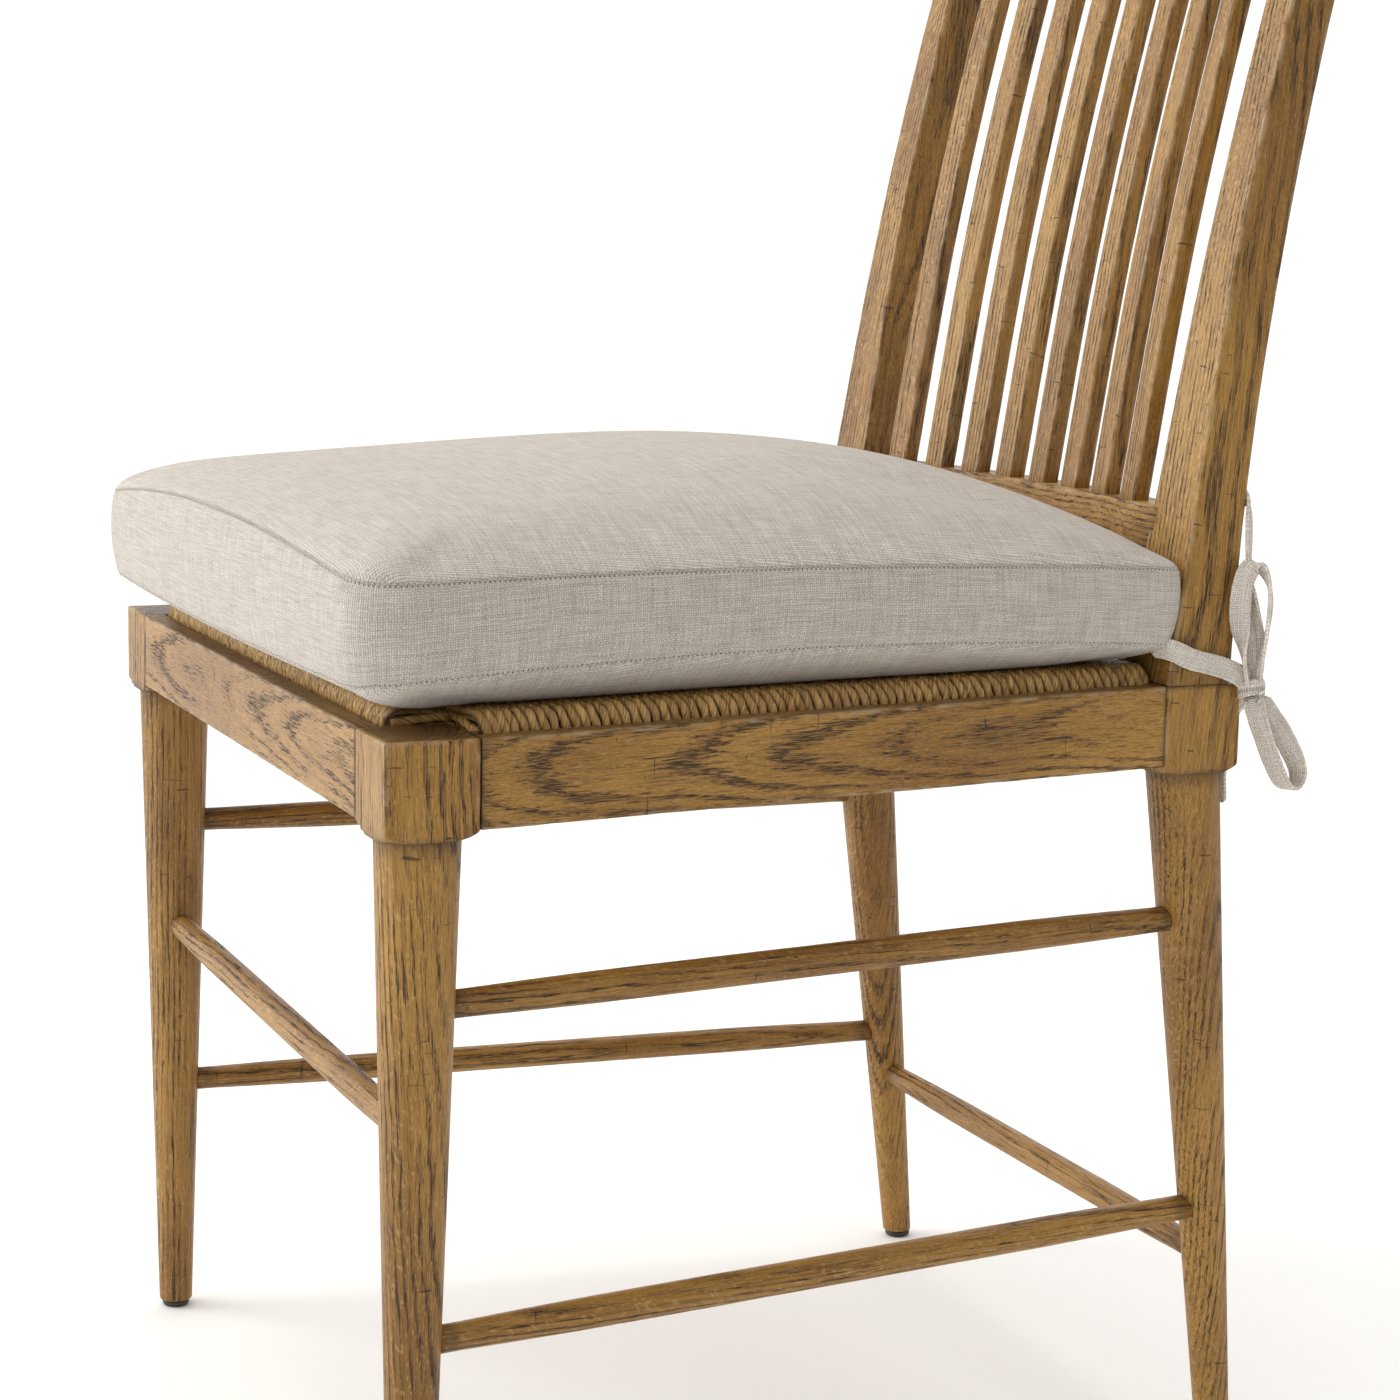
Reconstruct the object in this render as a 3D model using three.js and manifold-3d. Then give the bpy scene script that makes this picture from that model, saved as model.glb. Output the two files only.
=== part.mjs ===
// A wooden side chair: two turned front legs, two swept rear legs that run up into back posts,
// a tenoned seat frame with a drop-in rush seat, round stretchers, a bowed back of eight spindles,
// and a loose seat cushion tied to the back posts.
//
// Millimetres, +Z up, -Y to the front, +X to the sitter's left.
// The chair is drawn from a datum at the middle of the seat frame, level with the top of the seat
// rails, and the whole is then moved so that the origin is on the floor under its middle.

import * as THREE from "three";
import { mergeVertices } from "three/addons/utils/BufferGeometryUtils.js";
import Module from "manifold-3d";

// ---------------------------------------------------------------- driving sizes

// Seat frame
const SEAT_HEIGHT = 430; // floor to the top of the seat rails
const FRONT_WIDTH = 508; // over the front leg blocks
const BACK_WIDTH = 422; // over the rear leg blocks
const SEAT_DEPTH = 476; // front face of the front blocks to the back face of the rear blocks
const BLOCK = 45; // side of the square leg blocks
const RAIL_HEIGHT = 42;
const RAIL_THICKNESS = 22;
const RAIL_TENON_LENGTH = 20;
const RAIL_TENON_THICKNESS = 8;
const RAIL_TENON_SHOULDER = 3; // rail left below its tenon, and ledge left above it
const RAIL_TENON_INSET = 13; // outer face of the rail to the middle of its tenon
const TENON_ROOT = 6; // how far a separately drawn tenon runs back into its rail

// Legs
const SHOULDER_DROP = 4.5; // the square block ends this far below the rails
const SHOULDER_CUT = 5.5; // height over which turning cuts the block's corners away
const FRONT_LEG_RADIUS = 20.2;
const FRONT_FOOT_RADIUS = 9.7;
const FRONT_LEG_LEAN = -3; // foot forward of the block's middle
const REAR_LEG_RADIUS = 19.4;
const REAR_FOOT_RADIUS = 9;
const REAR_LEG_SETBACK = 3; // top of the round leg behind the middle of the block
const REAR_LEG_RAKE = 39; // foot behind the top of the round leg
const FOOT_EASE = 1.2; // bevel round the end of the leg
const LEG_SINK = 3; // how far the round leg is drawn up into its block

// Glides under the feet
const GLIDE_RADIUS = 8;
const GLIDE_THICKNESS = 4;
const GLIDE_PIN_RADIUS = 1.6;
const GLIDE_PIN_LENGTH = 12;

// Stretchers, by the height of their middle line below the top of the seat rails
const STRETCHER_RADIUS = 7.8;
const STRETCHER_END_RADIUS = 6.7;
const STRETCHER_SOCKET_RUN = 26; // straight end that goes into the leg
const STRETCHER_SWELL_RUN = 90;
const UPPER_SIDE_DROP = 127.5;
const LOWER_SIDE_DROP = 288;
const FRONT_STRETCHER_DROP = 189;
const BACK_STRETCHER_DROP = 316;

// Back
const BACK_HEIGHT = 530; // top of the back posts above the seat rails
const POST_FOOT_DEPTH = 38; // front to back where it leaves the block, flush with the block's front
const POST_SINK = 2; // how far the post is drawn down into its block
const BACK_LEAN = 0.0935; // slope of the post as it leaves the block
const BACK_SWEEP = 0.000206; // how fast that slope grows with height
// Height above the rails, depth front to back, and width of the post.
const POST_STATIONS = [
  { height: 0, depth: POST_FOOT_DEPTH, width: BLOCK },
  { height: 92, depth: 30, width: 39.6 },
  { height: 225, depth: 28, width: 29.6 },
  { height: 340, depth: 26, width: 25 },
  { height: BACK_HEIGHT, depth: 22, width: 22 },
];
const POST_ROWS = 12;

const BACK_BOW = 21.5; // how far the middle of the back lies behind its ends
const BACK_BOW_HALF_SPAN = 187;
const BACK_BOW_LEAD = 6.5; // the bow's ends lie this far in front of the post's face
const BACK_RAIL_THICKNESS = 22;
const LOWER_RAIL_TOP = 89;
const LOWER_RAIL_HEIGHT = 48;
const CREST_HEIGHT = 62;
const CREST_ARCH = 8; // rise of the crest's middle over its ends
const CREST_DROP = 10; // ends of the crest's top edge below the tops of the posts
const BACK_TENON_LENGTH = 11;
const BACK_TENON_THICKNESS = 9;
const BACK_TENON_SHOULDER = 8;

const SPINDLES = 8;
const SPINDLE_PITCH = 38;
const SPINDLE_WIDTH = 18.6;
const SPINDLE_DEPTH = 10;
const SPINDLE_SETBACK = 0.6; // spindle face behind the face of the rails
const SPINDLE_SOCKET = 12;
const SPINDLE_ROWS = 8;

// Drop-in seat
const LIP = 12; // rail left standing outside the seat
const WELL_DEPTH = 20;
const SEAT_CLEARANCE = 1.5;
const RUSH_THICKNESS = 6;
const SEAT_RAIL_THICKNESS = 16.4;
const SEAT_RAIL_MARGIN = 3; // rail of the drop-in frame wider than the leg blocks
const SEAT_TENON_LENGTH = 12;
const SEAT_TENON_THICKNESS = 6;
const SEAT_TENON_WIDTH = 24;
const CORNER_BLOCK_LEG = 95;
const CORNER_BLOCK_HEIGHT = 18;
const SCREW_RADIUS = 2.2;
const SCREW_HEAD_RADIUS = 4.5;
const SCREW_HEAD_HEIGHT = 2.6;
const SCREW_BITE = 12; // into the seat's frame
const SCREW_FROM_BLOCK_X = 16;
const SCREW_FROM_BLOCK_Y = 3;

// Cushion
const CUSHION_REST = 2; // air between the rush and the lowest point of the cushion
const CUSHION_BAND_BOTTOM = 26;
const CUSHION_BAND_TOP = 71;
const CUSHION_CROWN = 36; // rise of the top above the band
const CUSHION_OVERHANG = 12; // in front of the front rail
const CUSHION_SIDE_OVERHANG = 1;
const CUSHION_BACK_GAP = 3; // to the back posts
const CUSHION_CORNER_RADIUS = 22;
const COVER_THICKNESS = 1.5;
const ZIP_WIDTH = 8;
const ZIP_LENGTH = 300;

// Ties
const TIE_RADIUS = 2.2;
const TIE_SIDES = 6;
const TIE_STEP = 9; // length of one step along a tie
const TIE_POST_CLEARANCE = 1;
const KNOT_RADIUS = 8;
const KNOT_DROP = 5; // middle of the knot below the top of the rails

// Fits
const GAP = 0.3; // between touching pieces
const ROUND_SEGMENTS = 24;
const ROD_SEGMENTS = 16;
const SMALL_SEGMENTS = 12;

// ---------------------------------------------------------------- derived places

const FLOOR = -SEAT_HEIGHT;
const FRONT_FACE = -SEAT_DEPTH / 2;
const BACK_FACE = SEAT_DEPTH / 2;
const FRONT_BLOCK_INNER_Y = FRONT_FACE + BLOCK;
const REAR_BLOCK_INNER_Y = BACK_FACE - BLOCK;
const FRONT_BLOCK_INNER_X = FRONT_WIDTH / 2 - BLOCK;
const REAR_BLOCK_INNER_X = BACK_WIDTH / 2 - BLOCK;
const FRONT_BLOCK_Y = FRONT_FACE + BLOCK / 2;
const REAR_BLOCK_Y = BACK_FACE - BLOCK / 2;
const BLOCK_BOTTOM = -RAIL_HEIGHT - SHOULDER_DROP;
const FOOT = FLOOR + GLIDE_THICKNESS;
const POST_X = BACK_WIDTH / 2 - BLOCK / 2;
const BACK_START = REAR_BLOCK_INNER_Y + POST_FOOT_DEPTH / 2;
const SEAT_RAIL_WIDTH = BLOCK + SEAT_RAIL_MARGIN;

// Outer face of the side rails: x at a given y.
const SIDE_TAPER = (FRONT_WIDTH - BACK_WIDTH) / 2 / (REAR_BLOCK_INNER_Y - FRONT_BLOCK_INNER_Y);
const sideX = (y) => FRONT_WIDTH / 2 - (y - FRONT_BLOCK_INNER_Y) * SIDE_TAPER;
const SIDE_SCALE = Math.hypot(1, SIDE_TAPER); // turns a distance square to the side into one along X

// Middle of the back post's depth at a given height.
const backMiddle = (z) => BACK_START + BACK_LEAN * z + BACK_SWEEP * z * z;
const backSlope = (z) => BACK_LEAN + 2 * BACK_SWEEP * z;

// Smooth curve of one property of the post through its stations.
function stationCurve(key) {
  const points = POST_STATIONS.map((s) => new THREE.Vector2(s.height, s[key]));
  return new THREE.SplineCurve(points).getPoints(POST_ROWS * 4);
}
function along(curve, height) {
  const next = curve.findIndex((p) => p.x >= height);
  const b = curve[next < 0 ? curve.length - 1 : Math.max(next, 1)];
  const a = curve[next < 0 ? curve.length - 2 : Math.max(next, 1) - 1];
  return a.y + ((b.y - a.y) * (height - a.x)) / (b.x - a.x);
}
const DEPTHS = stationCurve("depth");
const WIDTHS = stationCurve("width");
const postDepth = (z) => along(DEPTHS, z);
const postWidth = (z) => along(WIDTHS, z);
const postFront = (z) => backMiddle(z) - postDepth(z) / 2;

// Front face of the bowed back: how far behind the post's front face it lies at a given x.
const bow = (x) => BACK_BOW * (1 - (x / BACK_BOW_HALF_SPAN) ** 2) - BACK_BOW_LEAD;
const bowAngle = (x) => Math.atan((-2 * BACK_BOW * x) / BACK_BOW_HALF_SPAN ** 2);

// Middle line and radius of a round leg at a given height.
const legPart = (z) => (z - BLOCK_BOTTOM) / (FLOOR - BLOCK_BOTTOM);
const frontLegY = (z) => FRONT_BLOCK_Y + FRONT_LEG_LEAN * legPart(z);
const rearLegY = (z) => REAR_BLOCK_Y + REAR_LEG_SETBACK + REAR_LEG_RAKE * legPart(z);
const FRONT_LEG_X = FRONT_WIDTH / 2 - BLOCK / 2;
const REAR_LEG_X = BACK_WIDTH / 2 - BLOCK / 2;

// ---------------------------------------------------------------- solids

const wasm = await Module();
wasm.setup();

// A closed geometry as a solid that can be joined and cut.
function solid(geometry) {
  const bare = geometry.clone();
  bare.deleteAttribute("normal");
  bare.deleteAttribute("uv");
  const merged = mergeVertices(bare, 1e-4);
  const vertProperties = new Float32Array(merged.getAttribute("position").array);
  const triVerts = merged.index
    ? new Uint32Array(merged.index.array)
    : Uint32Array.from({ length: vertProperties.length / 3 }, (_, i) => i);
  return new wasm.Manifold(new wasm.Mesh({ numProp: 3, vertProperties, triVerts }));
}

function geometryOf(shape) {
  const mesh = shape.getMesh();
  const geometry = new THREE.BufferGeometry();
  geometry.setAttribute("position", new THREE.BufferAttribute(mesh.vertProperties, 3));
  geometry.setIndex(new THREE.BufferAttribute(mesh.triVerts, 1));
  geometry.computeVertexNormals();
  return geometry;
}

const union = (shapes) => shapes.reduce((a, b) => a.add(b));

// A box between two corners.
function box(x0, x1, y0, y1, z0, z1) {
  const g = new THREE.BoxGeometry(x1 - x0, y1 - y0, z1 - z0);
  g.translate((x0 + x1) / 2, (y0 + y1) / 2, (z0 + z1) / 2);
  return solid(g);
}

// A plan outline, [x, y] points in order, raised from z0 to z1.
function slabGeometry(points, z0, z1) {
  const outline = new THREE.Shape(points.map(([x, y]) => new THREE.Vector2(x, y)));
  const g = new THREE.ExtrudeGeometry(outline, { depth: z1 - z0, bevelEnabled: false });
  return g.translate(0, 0, z0);
}
const slab = (points, z0, z1) => solid(slabGeometry(points, z0, z1));

// A side outline, [y, z] points in order, drawn out from x0 to x1.
function sideSlabGeometry(points, x0, x1) {
  const outline = new THREE.Shape(points.map(([y, z]) => new THREE.Vector2(y, z)));
  const g = new THREE.ExtrudeGeometry(outline, { depth: x1 - x0, bevelEnabled: false });
  return g.applyMatrix4(new THREE.Matrix4().set(0, 0, 1, x0, 1, 0, 0, 0, 0, 1, 0, 0, 0, 0, 0, 1));
}
const sideSlab = (points, x0, x1) => solid(sideSlabGeometry(points, x0, x1));

// A front outline, [x, z] points in order, drawn out from y0 to y1.
function frontSlab(points, y0, y1) {
  const outline = new THREE.Shape(points.map(([x, z]) => new THREE.Vector2(x, z)));
  const g = new THREE.ExtrudeGeometry(outline, { depth: y1 - y0, bevelEnabled: false });
  g.applyMatrix4(new THREE.Matrix4().set(1, 0, 0, 0, 0, 0, -1, y1, 0, 1, 0, 0, 0, 0, 0, 1));
  return solid(g);
}

// A turned piece: [radius, z] points from the axis round to the axis again, bottom first.
function turned(profile, segments = ROUND_SEGMENTS) {
  const g = new THREE.LatheGeometry(profile.map(([r, z]) => new THREE.Vector2(r, z)), segments);
  g.rotateX(Math.PI / 2);
  return g;
}

// Slides each level of a geometry along Y in proportion to its height above z0.
function sheared(geometry, slope, z0) {
  const m = new THREE.Matrix4().set(1, 0, 0, 0, 0, 1, slope, -slope * z0, 0, 0, 1, 0, 0, 0, 0, 1);
  return geometry.applyMatrix4(m);
}

// A turned piece laid from one point towards another, starting at the first.
function laid(geometry, from, to) {
  const direction = new THREE.Vector3().subVectors(to, from).normalize();
  const turn = new THREE.Quaternion().setFromUnitVectors(new THREE.Vector3(0, 0, 1), direction);
  geometry.applyQuaternion(turn);
  return geometry.translate(from.x, from.y, from.z);
}

// The same shape on the other side of the chair.
function mirrored(shape) {
  const mesh = shape.getMesh();
  const vertProperties = mesh.vertProperties.map((value, i) => (i % 3 === 0 ? -value : value));
  const triVerts = mesh.triVerts.toReversed();
  return new wasm.Manifold(new wasm.Mesh({ numProp: 3, vertProperties, triVerts }));
}
const onSide = (shape, side) => (side > 0 ? shape : mirrored(shape));

// ---------------------------------------------------------------- legs and posts

// The square block with its lower corners turned away, down to a circle of radius `ledge`.
function legBlock(x, y, ledge) {
  const corner = BLOCK * Math.SQRT1_2 + 1;
  const start = new THREE.Vector2(ledge, BLOCK_BOTTOM);
  const end = new THREE.Vector2(corner, BLOCK_BOTTOM + SHOULDER_CUT);
  const bend = new THREE.Vector2(ledge + (corner - ledge) * 0.55, BLOCK_BOTTOM + 1);
  const shoulder = new THREE.QuadraticBezierCurve(start, bend, end).getPoints(4);
  const profile = [[0, BLOCK_BOTTOM], ...shoulder.map((p) => [p.x, p.y]), [corner, 0], [0, 0]];
  const half = BLOCK / 2;
  const turnedBlock = solid(turned(profile).translate(x, y, 0));
  return turnedBlock.intersect(box(x - half, x + half, y - half, y + half, BLOCK_BOTTOM - 1, 1));
}

// The round leg below the block. It starts a little inside the block.
function roundLeg(x, y, topRadius, footRadius, lean) {
  const drop = BLOCK_BOTTOM - FLOOR;
  const perMm = (topRadius - footRadius) / drop;
  const top = BLOCK_BOTTOM + LEG_SINK;
  const profile = [
    [0, FOOT],
    [footRadius + perMm * GLIDE_THICKNESS - FOOT_EASE, FOOT],
    [footRadius + perMm * GLIDE_THICKNESS, FOOT + FOOT_EASE],
    [topRadius, BLOCK_BOTTOM],
    [topRadius, top],
    [0, top],
  ];
  const slope = -lean / drop;
  return solid(sheared(turned(profile), slope, BLOCK_BOTTOM).translate(x, y, 0));
}

function glideHole(leg) {
  const top = FOOT + GLIDE_PIN_LENGTH + 1;
  const r = GLIDE_PIN_RADIUS + GAP;
  const profile = [[0, FOOT - 1], [r, FOOT - 1], [r, top], [0, top]];
  return solid(turned(profile, SMALL_SEGMENTS).translate(leg.x, leg.footY, 0));
}

function glide(leg) {
  const under = FOOT - GAP;
  const top = FOOT + GLIDE_PIN_LENGTH;
  const profile = [
    [0, FLOOR],
    [GLIDE_RADIUS - 1, FLOOR],
    [GLIDE_RADIUS, FLOOR + 1],
    [GLIDE_RADIUS, under],
    [GLIDE_PIN_RADIUS, under],
    [GLIDE_PIN_RADIUS, top],
    [0, top],
  ];
  return solid(turned(profile, SMALL_SEGMENTS).translate(leg.x, leg.footY, 0));
}

// The swept post above the block, grown all round by `grow` for cutting its neighbours.
function backPost(grow = 0) {
  const heights = Array.from({ length: POST_ROWS + 1 }, (_, i) => (BACK_HEIGHT * i) / POST_ROWS);
  heights[0] = -POST_SINK;
  heights[POST_ROWS] = BACK_HEIGHT + grow;
  const at = (z, half) => backMiddle(z) + half * (postDepth(Math.max(z, 0)) / 2 + grow);
  const side = [
    ...heights.map((z) => [at(z, -1), z]),
    ...heights.toReversed().map((z) => [at(z, 1), z]),
  ];
  const wide = (z, half) => POST_X + half * (postWidth(Math.max(z, 0)) / 2 + grow);
  const front = [
    ...heights.map((z) => [wide(z, 1), z]),
    ...heights.toReversed().map((z) => [wide(z, -1), z]),
  ];
  const profile = sideSlab(side.toReversed(), POST_X - BLOCK, POST_X + BLOCK);
  return profile.intersect(frontSlab(front, BACK_START - BLOCK, backMiddle(BACK_HEIGHT) + BLOCK));
}

// ---------------------------------------------------------------- bowed rails of the back

// Plan outline of a bowed rail, its front face at y = bow(x) and ends at +-reach.
function bowedOutline(reach, thickness, grow = 0) {
  const steps = 12;
  const xs = Array.from({ length: steps + 1 }, (_, i) => -reach + (2 * reach * i) / steps);
  const front = xs.map((x) => [x, bow(x) - grow]);
  const back = xs.toReversed().map((x) => [x, bow(x) + thickness + grow]);
  return [...front, ...back];
}

// A bowed rail from z0 to z1 that leans with the posts.
function bowedRail(reach, z0, z1, thickness = BACK_RAIL_THICKNESS, setback = 0, grow = 0) {
  const middle = (z0 + z1) / 2;
  const level = slabGeometry(bowedOutline(reach, thickness, grow), z0 - grow, z1 + grow);
  return solid(sheared(level, backSlope(middle), middle).translate(0, postFront(middle) + setback, 0));
}

// z1 is the highest point of the rail, in its middle, and its ends are lower by its arch.
const LOWER_RAIL = { z0: LOWER_RAIL_TOP - LOWER_RAIL_HEIGHT, z1: LOWER_RAIL_TOP, arch: 0 };
const CREST_TOP = BACK_HEIGHT - CREST_DROP + CREST_ARCH;
const CREST = { z0: CREST_TOP - CREST_ARCH - CREST_HEIGHT, z1: CREST_TOP, arch: CREST_ARCH };

// How far the rail reaches: to the middle of the posts, so that they can cut its shoulders.
function railBody({ z0, z1 }) {
  const posts = backPost(GAP);
  return bowedRail(POST_X, z0, z1).subtract(posts).subtract(mirrored(posts));
}

function railTenons({ z0, z1, arch }, grow = 0) {
  const innerFace = POST_X - postWidth(z1) / 2;
  const reach = innerFace + BACK_TENON_LENGTH + grow;
  const setback = (BACK_RAIL_THICKNESS - BACK_TENON_THICKNESS) / 2;
  const low = z0 + BACK_TENON_SHOULDER;
  const high = z1 - arch - BACK_TENON_SHOULDER;
  return bowedRail(reach, low, high, BACK_TENON_THICKNESS, setback, grow);
}

// The arched top of the crest: what lies above it is cut away.
function crestArch() {
  const ends = CREST_TOP - CREST_ARCH;
  const half = POST_X;
  const arc = (x) => ends + CREST_ARCH * (1 - (x / half) ** 2);
  const steps = 14;
  const xs = Array.from({ length: steps + 1 }, (_, i) => -half + (2 * half * i) / steps);
  const top = CREST_TOP + BLOCK;
  return frontSlab([...xs.map((x) => [x, arc(x)]), [half, top], [-half, top]], 0, SEAT_DEPTH + BACK_HEIGHT);
}

// ---------------------------------------------------------------- spindles

const SPINDLE_BOTTOM = LOWER_RAIL.z1 - SPINDLE_SOCKET;
const SPINDLE_TOP = CREST.z0 + SPINDLE_SOCKET;
const spindleX = (i) => (i - (SPINDLES - 1) / 2) * SPINDLE_PITCH;

// One spindle at x, standing along the sweep of the posts and turned to follow the bow.
function spindle(x, grow = 0) {
  const rows = SPINDLE_ROWS;
  const span = SPINDLE_TOP - SPINDLE_BOTTOM + 2 * grow;
  const heights = Array.from({ length: rows + 1 }, (_, i) => SPINDLE_BOTTOM - grow + (span * i) / rows);
  const face = heights.map((z) => [postFront(z) - grow, z]);
  const rear = heights.toReversed().map((z) => [postFront(z) + SPINDLE_DEPTH + grow, z]);
  const half = SPINDLE_WIDTH / 2 + grow;
  const pivot = postFront(LOWER_RAIL.z1);
  const straight = sideSlabGeometry([...face, ...rear].toReversed(), -half, half).translate(0, -pivot, 0);
  return solid(straight.rotateZ(bowAngle(x)).translate(x, pivot + bow(x) + SPINDLE_SETBACK, 0));
}

// ---------------------------------------------------------------- seat rails

function sideRailBody(side) {
  const y0 = FRONT_BLOCK_INNER_Y + GAP;
  const y1 = REAR_BLOCK_INNER_Y - GAP;
  const inner = RAIL_THICKNESS * SIDE_SCALE;
  const plan = [[sideX(y0), y0], [sideX(y1), y1], [sideX(y1) - inner, y1], [sideX(y0) - inner, y0]];
  return onSide(slab(plan, -RAIL_HEIGHT, 0), side);
}

const RAIL_TENON_BOTTOM = -RAIL_HEIGHT + RAIL_TENON_SHOULDER;
const RAIL_TENON_TOP = -WELL_DEPTH - RAIL_TENON_SHOULDER;

function sideRailTenons(side, grow = 0) {
  const z0 = RAIL_TENON_BOTTOM - grow;
  const z1 = RAIL_TENON_TOP + grow;
  const half = RAIL_TENON_THICKNESS / 2 + grow;
  const reach = RAIL_TENON_LENGTH + grow;
  const tenons = [
    [FRONT_BLOCK_INNER_Y, -1],
    [REAR_BLOCK_INNER_Y, 1],
  ].map(([y, way]) => {
    const x = sideX(y) - RAIL_TENON_INSET;
    const [a, b] = way < 0 ? [y - reach, y + TENON_ROOT] : [y - TENON_ROOT, y + reach];
    return box(x - half, x + half, a, b, z0, z1);
  });
  return onSide(union(tenons), side);
}

function crossRailTenons(faceY, way, innerX, grow = 0) {
  const z0 = RAIL_TENON_BOTTOM - grow;
  const z1 = RAIL_TENON_TOP + grow;
  const y = faceY + way * RAIL_TENON_INSET;
  const half = RAIL_TENON_THICKNESS / 2 + grow;
  const reach = innerX + RAIL_TENON_LENGTH + grow;
  return box(-reach, reach, y - half, y + half, z0, z1);
}

function crossRailBody(faceY, way, innerX) {
  const [y0, y1] = [faceY, faceY + way * RAIL_THICKNESS].toSorted((a, b) => a - b);
  return box(-innerX + GAP, innerX - GAP, y0, y1, -RAIL_HEIGHT, 0);
}

// Plan of the seat frame drawn in by `inset` all round.
function seatPlan(inset) {
  const y0 = FRONT_FACE + inset;
  const y1 = BACK_FACE - inset;
  const x0 = sideX(y0) - inset * SIDE_SCALE;
  const x1 = sideX(y1) - inset * SIDE_SCALE;
  return [[-x0, y0], [x0, y0], [x1, y1], [-x1, y1]];
}

// The leg blocks, grown by `grow`, from z0 to z1.
function blocks(grow, z0, z1) {
  const corners = [];
  for (const side of [1, -1]) {
    const front = box(
      FRONT_BLOCK_INNER_X - grow, FRONT_WIDTH, FRONT_FACE - BLOCK, FRONT_BLOCK_INNER_Y + grow, z0, z1,
    );
    const rear = box(
      REAR_BLOCK_INNER_X - grow, FRONT_WIDTH, REAR_BLOCK_INNER_Y - grow, BACK_FACE + BLOCK, z0, z1,
    );
    corners.push(onSide(front, side), onSide(rear, side));
  }
  return union(corners);
}

// ---------------------------------------------------------------- drop-in seat

const RUSH_BOTTOM = -WELL_DEPTH + GAP;
const RUSH_TOP = RUSH_BOTTOM + 2 * RUSH_THICKNESS + SEAT_RAIL_THICKNESS + 2 * GAP;
const FRAME_BOTTOM = RUSH_BOTTOM + RUSH_THICKNESS + GAP;
const FRAME_TOP = FRAME_BOTTOM + SEAT_RAIL_THICKNESS;
const FRAME_INSET = LIP + SEAT_CLEARANCE + RUSH_THICKNESS + GAP;

function frameOutline(grow = 0) {
  const z0 = FRAME_BOTTOM - grow;
  const z1 = FRAME_TOP + grow;
  const notch = SEAT_CLEARANCE + RUSH_THICKNESS + GAP - grow;
  return slab(seatPlan(FRAME_INSET - grow), z0, z1).subtract(blocks(notch, z0 - 1, z1 + 1));
}

const INNER_FRONT = FRONT_FACE + FRAME_INSET + SEAT_RAIL_WIDTH;
const INNER_BACK = BACK_FACE - FRAME_INSET - SEAT_RAIL_WIDTH;

function seatTenons(side, grow = 0) {
  const middle = (FRAME_BOTTOM + FRAME_TOP) / 2;
  const half = SEAT_TENON_THICKNESS / 2 + grow;
  const wide = SEAT_TENON_WIDTH / 2 + grow;
  const reach = SEAT_TENON_LENGTH + grow;
  const tenons = [
    [INNER_FRONT, -1],
    [INNER_BACK, 1],
  ].map(([y, way]) => {
    const x = sideX(y) - FRAME_INSET - SEAT_RAIL_WIDTH / 2;
    const [a, b] = way < 0 ? [y - reach, y + TENON_ROOT] : [y - TENON_ROOT, y + reach];
    return box(x - wide, x + wide, a, b, middle - half, middle + half);
  });
  return onSide(union(tenons), side);
}

function seatFramePieces() {
  const whole = frameOutline();
  const far = FRONT_WIDTH;
  const z0 = FRAME_BOTTOM - 1;
  const z1 = FRAME_TOP + 1;
  const mortises = union([seatTenons(1, GAP), seatTenons(-1, GAP)]);
  const strip = (y0, y1) => whole.intersect(box(-far, far, y0, y1, z0, z1));
  const middle = strip(INNER_FRONT + GAP, INNER_BACK - GAP);
  const opening = SEAT_RAIL_WIDTH * SIDE_SCALE;
  const sideRail = (side) => {
    const y0 = INNER_FRONT;
    const y1 = INNER_BACK;
    const x0 = sideX(y0) - FRAME_INSET * SIDE_SCALE;
    const x1 = sideX(y1) - FRAME_INSET * SIDE_SCALE;
    const plan = [[x0 + 9, y0], [x1 + 9, y1], [x1 - opening, y1], [x0 - opening, y0]];
    return middle.intersect(onSide(slab(plan, z0, z1), side)).add(seatTenons(side));
  };
  return {
    slip_seat_rail_front: strip(-SEAT_DEPTH, INNER_FRONT).subtract(mortises),
    slip_seat_rail_back: strip(INNER_BACK, SEAT_DEPTH).subtract(mortises),
    slip_seat_rail_left: sideRail(1),
    slip_seat_rail_right: sideRail(-1),
  };
}

// The four woven panels, each a triangle whose cords go round one rail of the drop-in frame.
function rushPanels() {
  const plan = seatPlan(LIP + SEAT_CLEARANCE);
  const z0 = RUSH_BOTTOM - 1;
  const z1 = RUSH_TOP + 1;
  const notched = slab(plan, RUSH_BOTTOM, RUSH_TOP).subtract(blocks(SEAT_CLEARANCE, z0, z1));
  const woven = notched.subtract(frameOutline(GAP)).subtract(
    slab(seatPlan(FRAME_INSET + SEAT_RAIL_WIDTH / 2), FRAME_BOTTOM - GAP, FRAME_TOP + GAP),
  );
  const sector = ([x0, y0], [x1, y1]) => {
    const inward = new THREE.Vector2(-(y1 - y0), x1 - x0).normalize();
    const shift = ([x, y]) => [x - inward.x * GAP, y - inward.y * GAP];
    const a = shift([x0 * 1.2, y0 * 1.2]);
    const b = shift([x1 * 1.2, y1 * 1.2]);
    return slab([a, b, shift([0, 0])], z0, z1);
  };
  const [fr, fl, bl, br] = plan;
  return {
    rush_front: woven.intersect(sector(fr, fl)),
    rush_left: woven.intersect(sector(fl, bl)),
    rush_back: woven.intersect(sector(bl, br)),
    rush_right: woven.intersect(sector(br, fr)),
  };
}

// ---------------------------------------------------------------- corner blocks and screws

const CORNERS = [
  { name: "front_left", side: 1, way: 1 },
  { name: "front_right", side: -1, way: 1 },
  { name: "rear_left", side: 1, way: -1 },
  { name: "rear_right", side: -1, way: -1 },
];

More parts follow.
